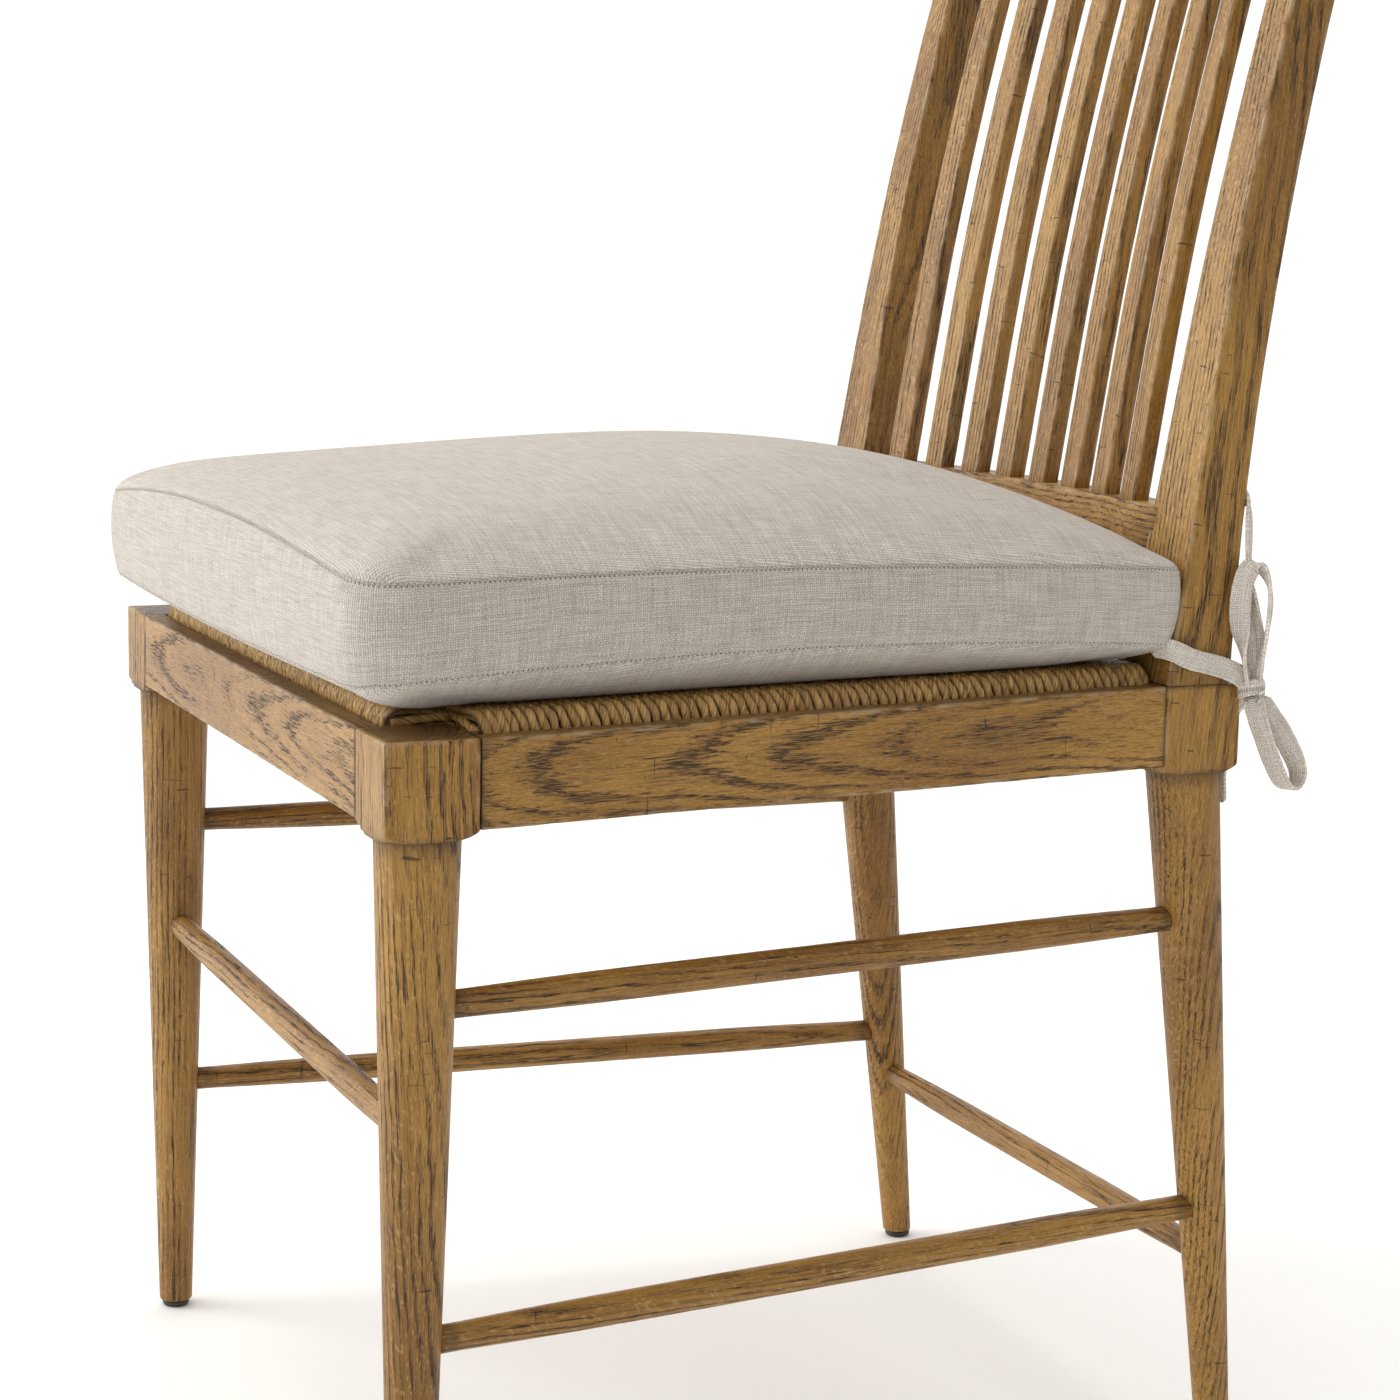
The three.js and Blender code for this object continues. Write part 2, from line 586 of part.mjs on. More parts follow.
function cornerBlock({ side, way }) {
  const face = way > 0 ? FRONT_FACE : BACK_FACE;
  const y = face + way * (RAIL_THICKNESS + GAP);
  const end = y + way * CORNER_BLOCK_LEG;
  const inner = (RAIL_THICKNESS + GAP) * SIDE_SCALE;
  const x = sideX(y) - inner;
  const points = [[x, y], [sideX(end) - inner, end], [x - CORNER_BLOCK_LEG, y]];
  const top = -WELL_DEPTH;
  const plan = way > 0 ? points : points.toReversed();
  const block = slab(plan, top - CORNER_BLOCK_HEIGHT, top);
  return onSide(block, side).subtract(blocks(GAP, top - CORNER_BLOCK_HEIGHT - 1, top + 1));
}

function screwPlace({ side, way }) {
  const x = (way > 0 ? FRONT_BLOCK_INNER_X : REAR_BLOCK_INNER_X) - SCREW_FROM_BLOCK_X;
  const y = way > 0 ? FRONT_BLOCK_INNER_Y + SCREW_FROM_BLOCK_Y : REAR_BLOCK_INNER_Y - SCREW_FROM_BLOCK_Y;
  return { x: side * x, y };
}

function screw(corner, grow = 0) {
  const { x, y } = screwPlace(corner);
  const under = -WELL_DEPTH - CORNER_BLOCK_HEIGHT - GAP;
  const top = FRAME_BOTTOM + SCREW_BITE;
  const r = SCREW_RADIUS + grow;
  const head = [
    [0, under - SCREW_HEAD_HEIGHT],
    [SCREW_HEAD_RADIUS - 1.2, under - SCREW_HEAD_HEIGHT],
    [SCREW_HEAD_RADIUS, under],
    [r, under],
    [r, top - 4],
    [0.6, top],
    [0, top],
  ];
  const hole = [[0, under - 1], [r, under - 1], [r, top + 1], [0, top + 1]];
  return solid(turned(grow > 0 ? hole : head, SMALL_SEGMENTS).translate(x, y, 0));
}

// ---------------------------------------------------------------- stretchers

function stretcherEnds() {
  const front = (side, z) => new THREE.Vector3(side * FRONT_LEG_X, frontLegY(z), z);
  const rear = (side, z) => new THREE.Vector3(side * REAR_LEG_X, rearLegY(z), z);
  const list = [];
  for (const [word, side] of [["left", 1], ["right", -1]]) {
    list.push([`upper_side_stretcher_${word}`, front(side, -UPPER_SIDE_DROP), rear(side, -UPPER_SIDE_DROP)]);
    list.push([`lower_side_stretcher_${word}`, front(side, -LOWER_SIDE_DROP), rear(side, -LOWER_SIDE_DROP)]);
  }
  list.push(["front_stretcher", front(-1, -FRONT_STRETCHER_DROP), front(1, -FRONT_STRETCHER_DROP)]);
  list.push(["back_stretcher", rear(-1, -BACK_STRETCHER_DROP), rear(1, -BACK_STRETCHER_DROP)]);
  return list;
}

function stretcher(from, to) {
  const length = from.distanceTo(to);
  const swell = [];
  for (const part of [0, 0.35, 0.7, 1]) {
    const eased = Math.sin((part * Math.PI) / 2);
    const radius = STRETCHER_END_RADIUS + (STRETCHER_RADIUS - STRETCHER_END_RADIUS) * eased;
    swell.push([radius, STRETCHER_SOCKET_RUN + part * STRETCHER_SWELL_RUN]);
  }
  const second = swell.toReversed().map(([r, z]) => [r, length - z]);
  const ends = [
    [0, 0], [STRETCHER_END_RADIUS, 0], ...swell, ...second, [STRETCHER_END_RADIUS, length], [0, length],
  ];
  return solid(laid(turned(ends, ROD_SEGMENTS), from, to));
}

function stretcherBore(from, to) {
  const direction = new THREE.Vector3().subVectors(to, from).normalize();
  const start = from.clone().addScaledVector(direction, -GAP * 2);
  const end = to.clone().addScaledVector(direction, GAP * 2);
  const r = STRETCHER_END_RADIUS + GAP;
  const length = start.distanceTo(end);
  return solid(laid(turned([[0, 0], [r, 0], [r, length], [0, length]], ROD_SEGMENTS), start, end));
}

// ---------------------------------------------------------------- cushion

const CUSHION_LOW = RUSH_TOP + CUSHION_REST;
const CUSHION_FRONT = FRONT_FACE - CUSHION_OVERHANG;
const CUSHION_BACK = postFront(0) - CUSHION_BACK_GAP;

// Plan of the cushion with rounded corners, drawn in by `inset`.
function cushionPlan(inset) {
  const y0 = CUSHION_FRONT + inset;
  const y1 = CUSHION_BACK - inset;
  const x0 = sideX(y0) + CUSHION_SIDE_OVERHANG - inset - CUSHION_OVERHANG * SIDE_TAPER;
  const x1 = sideX(y1) + CUSHION_SIDE_OVERHANG - inset;
  const r = Math.max(CUSHION_CORNER_RADIUS - inset, 1);
  const corners = [[-x0, y0], [x0, y0], [x1, y1], [-x1, y1]].map(([x, y]) => new THREE.Vector2(x, y));
  const path = new THREE.Path();
  corners.forEach((corner, i) => {
    const before = corners[(i + 3) % 4];
    const after = corners[(i + 1) % 4];
    const enter = corner.clone().add(before.clone().sub(corner).setLength(r));
    const leave = corner.clone().add(after.clone().sub(corner).setLength(r));
    if (i === 0) path.moveTo(enter.x, enter.y);
    else path.lineTo(enter.x, enter.y);
    path.quadraticCurveTo(corner.x, corner.y, leave.x, leave.y);
  });
  return path.getPoints(4).slice(0, -1).map((p) => [p.x, p.y]);
}

// An arch from -half to half: edge height, middle height and the flat base it stands on.
function archPoints(low, high, edge, middle, base) {
  const steps = 10;
  const across = Array.from({ length: steps + 1 }, (_, i) => (2 * i) / steps - 1);
  const centre = (low + high) / 2;
  const half = (high - low) / 2;
  const arch = across.map((t) => [centre + half * t, edge + (middle - edge) * (1 - t * t)]);
  return [...arch, [high, base], [low, base]];
}

function cushionSolid(inset) {
  const top = CUSHION_BAND_TOP - inset;
  const bottom = CUSHION_BAND_BOTTOM + inset;
  const crown = top + CUSHION_CROWN;
  const low = CUSHION_LOW + inset;
  const wide = FRONT_WIDTH / 2 + 2;
  const y0 = CUSHION_FRONT;
  const y1 = CUSHION_BACK;
  const span = SEAT_DEPTH;
  const prism = slab(cushionPlan(inset), low, crown);
  const middle = (bottom + top) / 2;
  const above = (a, b) => archPoints(a, b, top, crown, middle).toReversed();
  const below = (a, b) => archPoints(a, b, bottom, low, middle);
  const overTop = frontSlab(above(-wide, wide), -span, span).intersect(
    sideSlab(above(y0, y1), -span, span),
  );
  const under = frontSlab(below(-wide, wide), -span, span).intersect(
    sideSlab(below(y0, y1), -span, span),
  );
  return prism.intersect(overTop.add(under));
}

function zipOpening(grow = 0) {
  const middle = (CUSHION_BAND_BOTTOM + CUSHION_BAND_TOP) / 2;
  const half = ZIP_WIDTH / 2 + grow;
  const y1 = CUSHION_BACK + grow;
  const y0 = CUSHION_BACK - COVER_THICKNESS - grow;
  return box(-ZIP_LENGTH / 2 - grow, ZIP_LENGTH / 2 + grow, y0, y1, middle - half, middle + half);
}

// ---------------------------------------------------------------- ties

// A plain round tie along a smooth line through the given places.
function tie(places) {
  const curve = new THREE.CatmullRomCurve3(places.map(([x, y, z]) => new THREE.Vector3(x, y, z)));
  const ring = new THREE.Shape();
  for (let i = 0; i < TIE_SIDES; i++) {
    const angle = (2 * Math.PI * i) / TIE_SIDES;
    const [x, y] = [TIE_RADIUS * Math.cos(angle), TIE_RADIUS * Math.sin(angle)];
    if (i === 0) ring.moveTo(x, y);
    else ring.lineTo(x, y);
  }
  const steps = Math.ceil(curve.getLength() / TIE_STEP);
  return solid(new THREE.ExtrudeGeometry(ring, { steps, extrudePath: curve, bevelEnabled: false }));
}

// Where the ties run round a post, for the chair's left side.
function tiePlaces() {
  const outside = BACK_WIDTH / 2 + TIE_POST_CLEARANCE + TIE_RADIUS;
  const behind = BACK_FACE + TIE_POST_CLEARANCE + TIE_RADIUS;
  const knot = { x: outside - 3, y: behind + KNOT_RADIUS - 2, z: -KNOT_DROP };
  const over = LOWER_RAIL.z1 + TIE_RADIUS + 1;
  const gapX = POST_X - postWidth(over) / 2 - 8;
  const railFront = postFront(over) + bow(gapX) - TIE_RADIUS - 1;
  const postBack = backMiddle(over) + postDepth(over) / 2 + TIE_RADIUS + 2;
  const stop = KNOT_RADIUS + TIE_RADIUS + 0.6;
  return {
    knot,
    outer: [
      [outside, CUSHION_BACK - 6, 14],
      [outside, CUSHION_BACK + 16, 10],
      [outside, BACK_FACE - 12, 3],
      [outside + 0.6, knot.y - stop + 1, -1],
    ],
    inner: [
      [gapX, railFront - 6, over - 22],
      [gapX, railFront - 3, over - 4],
      [gapX, railFront + 4, over + 3],
      [gapX + 1, postBack - 3, over + 2],
      [POST_X - 12, postBack + 4, over + 4],
      [POST_X + 10, postBack + 4, over + 2],
      [POST_X + 16, behind + 12, over - 30],
      [knot.x - 1, knot.y + 3, over - 62],
      [knot.x, knot.y + 2, knot.z + stop + 1],
    ],
    bow: [
      [knot.x + 7, knot.y - 2, knot.z + stop + 1],
      [knot.x + 13, knot.y - 2, knot.z + 34],
      [knot.x + 15, knot.y + 3, knot.z + 56],
      [knot.x + 16, knot.y + 14, knot.z + 62],
      [knot.x + 16, knot.y + 22, knot.z + 46],
      [knot.x + 12, knot.y + 16, knot.z + 22],
      [knot.x + 8, knot.y + 8, knot.z + stop + 1],
    ],
    tail: [
      [knot.x + 1, knot.y + 4, knot.z - stop],
      [knot.x + 3, knot.y + 14, knot.z - 30],
      [knot.x + 4, knot.y + 27, knot.z - 52],
      [knot.x + 3, knot.y + 31, knot.z - 58],
      [knot.x + 1, knot.y + 28, knot.z - 56],
    ],
  };
}

function knotSolid({ x, y, z }) {
  return solid(new THREE.SphereGeometry(KNOT_RADIUS, 12, 8).translate(x, y, z));
}

// ---------------------------------------------------------------- assembly

const oak = () => new THREE.MeshStandardMaterial({ color: 0x9a6f3f, roughness: 0.62, metalness: 0 });
const poplar = () => new THREE.MeshStandardMaterial({ color: 0xb08d5c, roughness: 0.75, metalness: 0 });
const rush = () => new THREE.MeshStandardMaterial({ color: 0xb98d4c, roughness: 0.7, metalness: 0 });
const linen = () => new THREE.MeshStandardMaterial({ color: 0xcbc2b7, roughness: 0.95, metalness: 0 });
const foam = () => new THREE.MeshStandardMaterial({ color: 0xeee6cf, roughness: 1, metalness: 0 });
const steel = () => new THREE.MeshStandardMaterial({ color: 0x8d8d8b, roughness: 0.4, metalness: 0.9 });
const nylon = () => new THREE.MeshStandardMaterial({ color: 0x2b2622, roughness: 0.5, metalness: 0 });

const chair = new THREE.Group();

function place(name, shape, material) {
  const mesh = new THREE.Mesh(geometryOf(shape), material);
  mesh.name = name;
  chair.add(mesh);
}

const SIDES = [["left", 1], ["right", -1]];
const seatWell = slab(seatPlan(LIP), -WELL_DEPTH, 1);
const stretchers = stretcherEnds();
const bores = union(stretchers.map(([, from, to]) => stretcherBore(from, to)));
const frontTenons = crossRailTenons(FRONT_FACE, 1, FRONT_BLOCK_INNER_X);
const backTenons = crossRailTenons(BACK_FACE, -1, REAR_BLOCK_INNER_X);
const railMortises = union([
  crossRailTenons(FRONT_FACE, 1, FRONT_BLOCK_INNER_X, GAP),
  crossRailTenons(BACK_FACE, -1, REAR_BLOCK_INNER_X, GAP),
  sideRailTenons(1, GAP),
  sideRailTenons(-1, GAP),
]);
const backMortises = union([railTenons(LOWER_RAIL, GAP), railTenons(CREST, GAP)]);
const spindleMortises = union(
  Array.from({ length: SPINDLES }, (_, i) => spindle(spindleX(i), GAP)),
);

for (const [word, side] of SIDES) {
  const frontFoot = { x: side * FRONT_LEG_X, footY: frontLegY(FLOOR) };
  const rearFoot = { x: side * REAR_LEG_X, footY: rearLegY(FLOOR) };
  const frontLeg = legBlock(side * FRONT_LEG_X, FRONT_BLOCK_Y, FRONT_LEG_RADIUS)
    .add(roundLeg(side * FRONT_LEG_X, FRONT_BLOCK_Y, FRONT_LEG_RADIUS, FRONT_FOOT_RADIUS, FRONT_LEG_LEAN))
    .subtract(railMortises)
    .subtract(bores)
    .subtract(glideHole(frontFoot));
  const rearY = REAR_BLOCK_Y + REAR_LEG_SETBACK;
  const rearLeg = legBlock(side * REAR_LEG_X, REAR_BLOCK_Y, REAR_LEG_RADIUS + REAR_LEG_SETBACK)
    .add(roundLeg(side * REAR_LEG_X, rearY, REAR_LEG_RADIUS, REAR_FOOT_RADIUS, REAR_LEG_RAKE))
    .add(onSide(backPost(), side))
    .subtract(railMortises)
    .subtract(backMortises)
    .subtract(bores)
    .subtract(glideHole(rearFoot));
  place(`front_leg_${word}`, frontLeg, oak());
  place(`back_post_${word}`, rearLeg, oak());
  place(`side_seat_rail_${word}`, sideRailBody(side).subtract(seatWell).add(sideRailTenons(side)), oak());
  place(`glide_front_${word}`, glide(frontFoot), nylon());
  place(`glide_rear_${word}`, glide(rearFoot), nylon());
}

const frontRail = crossRailBody(FRONT_FACE, 1, FRONT_BLOCK_INNER_X);
const backRail = crossRailBody(BACK_FACE, -1, REAR_BLOCK_INNER_X);
place("front_seat_rail", frontRail.subtract(seatWell).add(frontTenons), oak());
place("back_seat_rail", backRail.subtract(seatWell).add(backTenons), oak());

for (const [name, from, to] of stretchers) place(name, stretcher(from, to), oak());

const lowerBackRail = railBody(LOWER_RAIL).add(railTenons(LOWER_RAIL)).subtract(spindleMortises);
const crestRail = railBody(CREST).subtract(crestArch()).add(railTenons(CREST)).subtract(spindleMortises);
place("lower_back_rail", lowerBackRail, oak());
place("crest_rail", crestRail, oak());
for (let i = 0; i < SPINDLES; i++) place(`back_spindle_${i + 1}`, spindle(spindleX(i)), oak());

const screwHoles = union(CORNERS.map((corner) => screw(corner, GAP)));
for (const corner of CORNERS) {
  place(`corner_block_${corner.name}`, cornerBlock(corner).subtract(screwHoles), poplar());
  place(`seat_screw_${corner.name}`, screw(corner), steel());
}
for (const [name, shape] of Object.entries(seatFramePieces())) {
  place(name, shape.subtract(screwHoles), poplar());
}
for (const [name, shape] of Object.entries(rushPanels())) place(name, shape.subtract(screwHoles), rush());

const core = cushionSolid(COVER_THICKNESS + GAP);
const cover = cushionSolid(0).subtract(cushionSolid(COVER_THICKNESS)).subtract(zipOpening(GAP));
place("cushion_core", core, foam());
place("cushion_cover", cover, linen());
place("cushion_zip", zipOpening(), steel());

const ties = tiePlaces();
for (const [word, side] of SIDES) {
  place(`tie_outer_${word}`, onSide(tie(ties.outer), side), linen());
  place(`tie_inner_${word}`, onSide(tie(ties.inner), side), linen());
  place(`tie_knot_${word}`, onSide(knotSolid(ties.knot), side), linen());
  place(`tie_bow_${word}`, onSide(tie(ties.bow), side), linen());
  place(`tie_tail_${word}`, onSide(tie(ties.tail), side), linen());
}

// The origin is on the floor, under the middle of the whole chair.
const extent = new THREE.Box3().setFromObject(chair);
chair.position.set(0, -(extent.min.y + extent.max.y) / 2, SEAT_HEIGHT);

const part = new THREE.Group();
part.add(chair);
export default part;
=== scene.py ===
"""A wooden side chair with a rush seat and a tied linen cushion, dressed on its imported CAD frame.

Shapes are worked out in millimetres from the seat's datum: the middle of the seat frame in plan,
level with the top of the seat rails. build() turns them into metres in the frame.
+X is the sitter's left, -Y the front, +Z up.
"""

import math
from random import Random

import bpy
import numpy as np
from mathutils import Matrix, Vector

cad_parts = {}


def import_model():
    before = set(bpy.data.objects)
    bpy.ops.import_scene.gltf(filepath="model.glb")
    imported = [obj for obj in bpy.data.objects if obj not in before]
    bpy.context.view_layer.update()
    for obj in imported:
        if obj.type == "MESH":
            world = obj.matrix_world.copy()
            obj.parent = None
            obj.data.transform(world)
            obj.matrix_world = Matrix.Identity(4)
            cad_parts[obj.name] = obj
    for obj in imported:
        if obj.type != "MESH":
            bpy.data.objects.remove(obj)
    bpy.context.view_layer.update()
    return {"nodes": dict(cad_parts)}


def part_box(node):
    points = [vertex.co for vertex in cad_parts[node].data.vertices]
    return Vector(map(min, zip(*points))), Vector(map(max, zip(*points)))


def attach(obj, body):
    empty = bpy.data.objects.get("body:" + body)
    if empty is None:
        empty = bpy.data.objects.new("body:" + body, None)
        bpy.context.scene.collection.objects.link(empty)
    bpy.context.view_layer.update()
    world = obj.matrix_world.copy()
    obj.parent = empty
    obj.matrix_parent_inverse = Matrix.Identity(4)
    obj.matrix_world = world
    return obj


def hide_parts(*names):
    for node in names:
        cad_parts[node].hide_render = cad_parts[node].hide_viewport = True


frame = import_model()

# ---------------------------------------------------------------- sizes read from the frame

MM = 1000.0
rail_low, rail_high = (np.array(corner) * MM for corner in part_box("front_seat_rail"))
DATUM = np.array([0.0, 0.0, rail_high[2]])
DATUM[1] = (rail_low[1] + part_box("back_seat_rail")[1][1] * MM) / 2


def span(node):
    """Lowest and highest corners of a CAD node, in millimetres from the datum."""
    low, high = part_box(node)
    return np.array(low) * MM - DATUM, np.array(high) * MM - DATUM


FLOOR = -DATUM[2]
FRONT_FACE = span("front_seat_rail")[0][1]
BACK_FACE = span("back_seat_rail")[1][1]
FRONT_HALF = span("front_leg_left")[1][0]
BACK_HALF = span("back_post_left")[1][0]
BLOCK = FRONT_HALF - span("front_leg_left")[0][0]
RAIL_HEIGHT = -span("front_seat_rail")[0][2]
BACK_HEIGHT = span("back_post_left")[1][2]
FOOT = span("front_leg_left")[0][2]
GLIDE_RADIUS = (span("glide_front_left")[1][0] - span("glide_front_left")[0][0]) / 2
RUSH_LOW = span("rush_front")[0][2]
RUSH_HIGH = span("rush_front")[1][2]
LOWER_RAIL_LOW = span("lower_back_rail")[0][2]
LOWER_RAIL_HIGH = span("lower_back_rail")[1][2]
CREST_LOW = span("crest_rail")[0][2]
CREST_HIGH = span("crest_rail")[1][2]
SPINDLES = sum(name.startswith("back_spindle_") for name in frame["nodes"])

# ---------------------------------------------------------------- sizes of the design, as in the CAD

FRONT_INNER_Y = FRONT_FACE + BLOCK
BACK_INNER_Y = BACK_FACE - BLOCK
FRONT_INNER_X = FRONT_HALF - BLOCK
BACK_INNER_X = BACK_HALF - BLOCK
SIDE_TAPER = (FRONT_HALF - BACK_HALF) / (BACK_INNER_Y - FRONT_INNER_Y)
SIDE_SCALE = math.hypot(1, SIDE_TAPER)

SHOULDER_DROP = 4.5  # the square block ends this far below the rails
SHOULDER_CUT = 5.5  # height over which turning cuts the block's corners away
BLOCK_BOTTOM = -RAIL_HEIGHT - SHOULDER_DROP
ARRIS = 1.3  # rounding of the worn edges
RAIL_THICKNESS = 22
LIP = 12
WELL_DEPTH = 20
SEAT_CLEARANCE = 1.5
SEAM = 0.35  # half of the open line between two members

FRONT_LEG_RADIUS = 20.2
FRONT_FOOT_RADIUS = 9.7
FRONT_LEG_LEAN = -3
REAR_LEG_RADIUS = 19.4
REAR_FOOT_RADIUS = 9
REAR_LEG_SETBACK = 3
REAR_LEG_RAKE = 39

STRETCHER_RADIUS = 7.8
STRETCHER_END_RADIUS = 6.7
STRETCHER_SOCKET_RUN = 26
STRETCHER_SWELL_RUN = 90

BACK_START = 212
BACK_LEAN = 0.0935
BACK_SWEEP = 0.000206
POST_HEIGHTS = [0, 92, 225, 340, BACK_HEIGHT]
POST_DEPTHS = [38, 30, 28, 26, 22]
POST_WIDTHS = [45, 39.6, 29.6, 25, 22]
BACK_BOW = 21.5
BACK_BOW_HALF_SPAN = 187
BACK_BOW_LEAD = 6.5
BACK_RAIL_THICKNESS = 22
CREST_ARCH = 8
SPINDLE_PITCH = 38
SPINDLE_WIDTH = 18.6
SPINDLE_DEPTH = 10
SPINDLE_SETBACK = 0.6
SPINDLE_SINK = 4  # how far a spindle runs into the rails

SIDES = ((1, "left"), (-1, "right"))
FRONT_LEG_X = FRONT_HALF - BLOCK / 2
REAR_LEG_X = BACK_HALF - BLOCK / 2
FRONT_BLOCK_Y = FRONT_FACE + BLOCK / 2
REAR_BLOCK_Y = BACK_FACE - BLOCK / 2


def side_x(y):
    """Outer face of the side rails."""
    return FRONT_HALF - (y - FRONT_INNER_Y) * SIDE_TAPER


def back_middle(z):
    return BACK_START + BACK_LEAN * z + BACK_SWEEP * z * z


def post_depth(z):
    return smooth_curve(POST_HEIGHTS, POST_DEPTHS, z)


def post_width(z):
    return smooth_curve(POST_HEIGHTS, POST_WIDTHS, z)


def post_front(z):
    return back_middle(z) - post_depth(z) / 2


def bow(x):
    """How far the bowed back lies behind the posts' front faces."""
    return BACK_BOW * (1 - (x / BACK_BOW_HALF_SPAN) ** 2) - BACK_BOW_LEAD


def bow_angle(x):
    return math.atan(-2 * BACK_BOW * x / BACK_BOW_HALF_SPAN**2)


def leg_part(z):
    return (z - BLOCK_BOTTOM) / (FLOOR - BLOCK_BOTTOM)


def front_leg_y(z):
    return FRONT_BLOCK_Y + FRONT_LEG_LEAN * leg_part(z)


def rear_leg_y(z):
    return REAR_BLOCK_Y + REAR_LEG_SETBACK + REAR_LEG_RAKE * leg_part(z)


# ---------------------------------------------------------------- curves and outlines


def unit(vectors):
    """Vectors scaled to length one, along the last axis."""
    return vectors / np.linalg.norm(vectors, axis=-1, keepdims=True)


def distances(points):
    """How far along a line each of its points lies."""
    return np.concatenate([[0], np.cumsum(np.linalg.norm(np.diff(points, axis=0), axis=1))])


def smooth_curve(xs, ys, x):
    """A smooth curve through stations (cubic Hermite)."""
    xs = np.asarray(xs, float)
    ys = np.asarray(ys, float)
    slopes = np.gradient(ys, xs)
    k = int(np.clip(np.searchsorted(xs, x) - 1, 0, len(xs) - 2))
    h = xs[k + 1] - xs[k]
    t = min(max((x - xs[k]) / h, 0), 1)
    a = (1 + 2 * t) * (1 - t) ** 2 * ys[k] + t * t * (3 - 2 * t) * ys[k + 1]
    return a + h * (t * (1 - t) ** 2 * slopes[k] - t * t * (1 - t) * slopes[k + 1])


def spline(points, steps):
    """A Catmull-Rom line through points, with `steps` pieces between neighbours."""
    p = np.asarray(points, float)
    p = np.vstack([2 * p[0] - p[1], p, 2 * p[-1] - p[-2]])
    out = []
    for i in range(1, len(p) - 2):
        for t in np.arange(steps) / steps:
            a = 2 * p[i] + (p[i + 1] - p[i - 1]) * t
            b = (2 * p[i - 1] - 5 * p[i] + 4 * p[i + 1] - p[i + 2]) * t * t
            c = (3 * p[i] - p[i - 1] - 3 * p[i + 1] + p[i + 2]) * t**3
            out.append((a + b + c) / 2)
    out.append(p[-2])
    return np.array(out)


def even(points, step):
    """The same line with its points an even distance apart."""
    lengths = distances(points)
    count = max(2, int(round(lengths[-1] / step)) + 1)
    at = np.linspace(0, lengths[-1], count)
    return np.stack([np.interp(at, lengths, points[:, k]) for k in range(points.shape[1])], axis=1)


def ripple(t, seed, waves=(37.0, 17.0, 7.3)):
    """A gentle random waviness, between about -1 and 1, of a length in millimetres."""
    random = Random(seed)
    total = np.zeros_like(np.asarray(t, float))
    for wave in waves:
        turns = np.asarray(t) / wave * 2 * math.pi
        total += np.sin(turns * random.uniform(0.8, 1.25) + random.uniform(0, 7))
    return total / len(waves)


def rounded_corner(corners, i, radius):
    """Directions to the corner's neighbours, and the start, end and middle of its rounding."""
    before = unit(corners[i - 1] - corners[i])
    after = unit(corners[(i + 1) % len(corners)] - corners[i])
    half = math.acos(np.clip(before @ after, -1, 1)) / 2
    reach = radius / math.tan(half)
    middle = corners[i] + unit(before + after) * radius / math.sin(half)
    return before, after, corners[i] + before * reach, corners[i] + after * reach, middle


EDGE_REACH = 1.5  # how far the wear of an edge spreads onto a face


class Outline:
    """A closed outline with rounded corners, the same number of points whatever its size."""

    def __init__(self, corners, radii, flat=6, arc=3):
        corners = [np.array(c, float) for c in corners]
        turns = [rounded_corner(corners, i, radius) for i, radius in enumerate(radii)]
        points = []
        normals = []
        edges = []
        for i, (before, after, start, end, middle) in enumerate(turns):
            outside = np.cross(-before, after) > 0
            for t in np.arange(arc + 1) / arc:
                if outside:
                    spoke = unit((start - middle) * (1 - t) + (end - middle) * t)
                    points.append(middle + spoke * radii[i])
                    normals.append(spoke)
                else:
                    points.append(start * (1 - t) + end * t)
                    normals.append(-unit(before + after))
                edges.append(float(outside))
            last = points[-1]
            stop = turns[(i + 1) % len(turns)][2]
            run = np.linalg.norm(stop - last)
            near = min(0.12, 1.6 / max(run, 1e-6))
            inner = [near + (1 - 2 * near) * k / (flat - 1) for k in range(1, flat - 1)]
            for t in (near, *inner, 1 - near):
                points.append(last * (1 - t) + stop * t)
                normals.append(np.array([after[1], -after[0]]))
                edges.append(math.exp(-min(t, 1 - t) * run / EDGE_REACH))
        self.points = np.array(points)
        self.normals = np.array(normals)
        self.edges = np.array(edges)

    def inset(self, amount):
        return self.points - self.normals * amount


def round_points(count):
    """A circle of radius one, as points."""
    angles = np.arange(count) / count * 2 * math.pi
    return np.column_stack([np.cos(angles), np.sin(angles)])


def rectangle(width, depth, radius=ARRIS, flat=8, arc=3):
    w = width / 2
    d = depth / 2
    return Outline([(w, -d), (w, d), (-w, d), (-w, -d)], [radius] * 4, flat, arc)


# ---------------------------------------------------------------- meshes


def stand(name, data):
    """Puts a mesh, lamp or camera into the scene."""
    thing = bpy.data.objects.new(name, data)
    bpy.context.scene.collection.objects.link(thing)
    return thing


def read(things, key, width, kind=float):
    """One property of all of a mesh's vertices, edges, loops or UV corners."""
    values = np.empty(len(things) * width, dtype=kind)
    things.foreach_get(key, values)
    return values.reshape(-1, width)


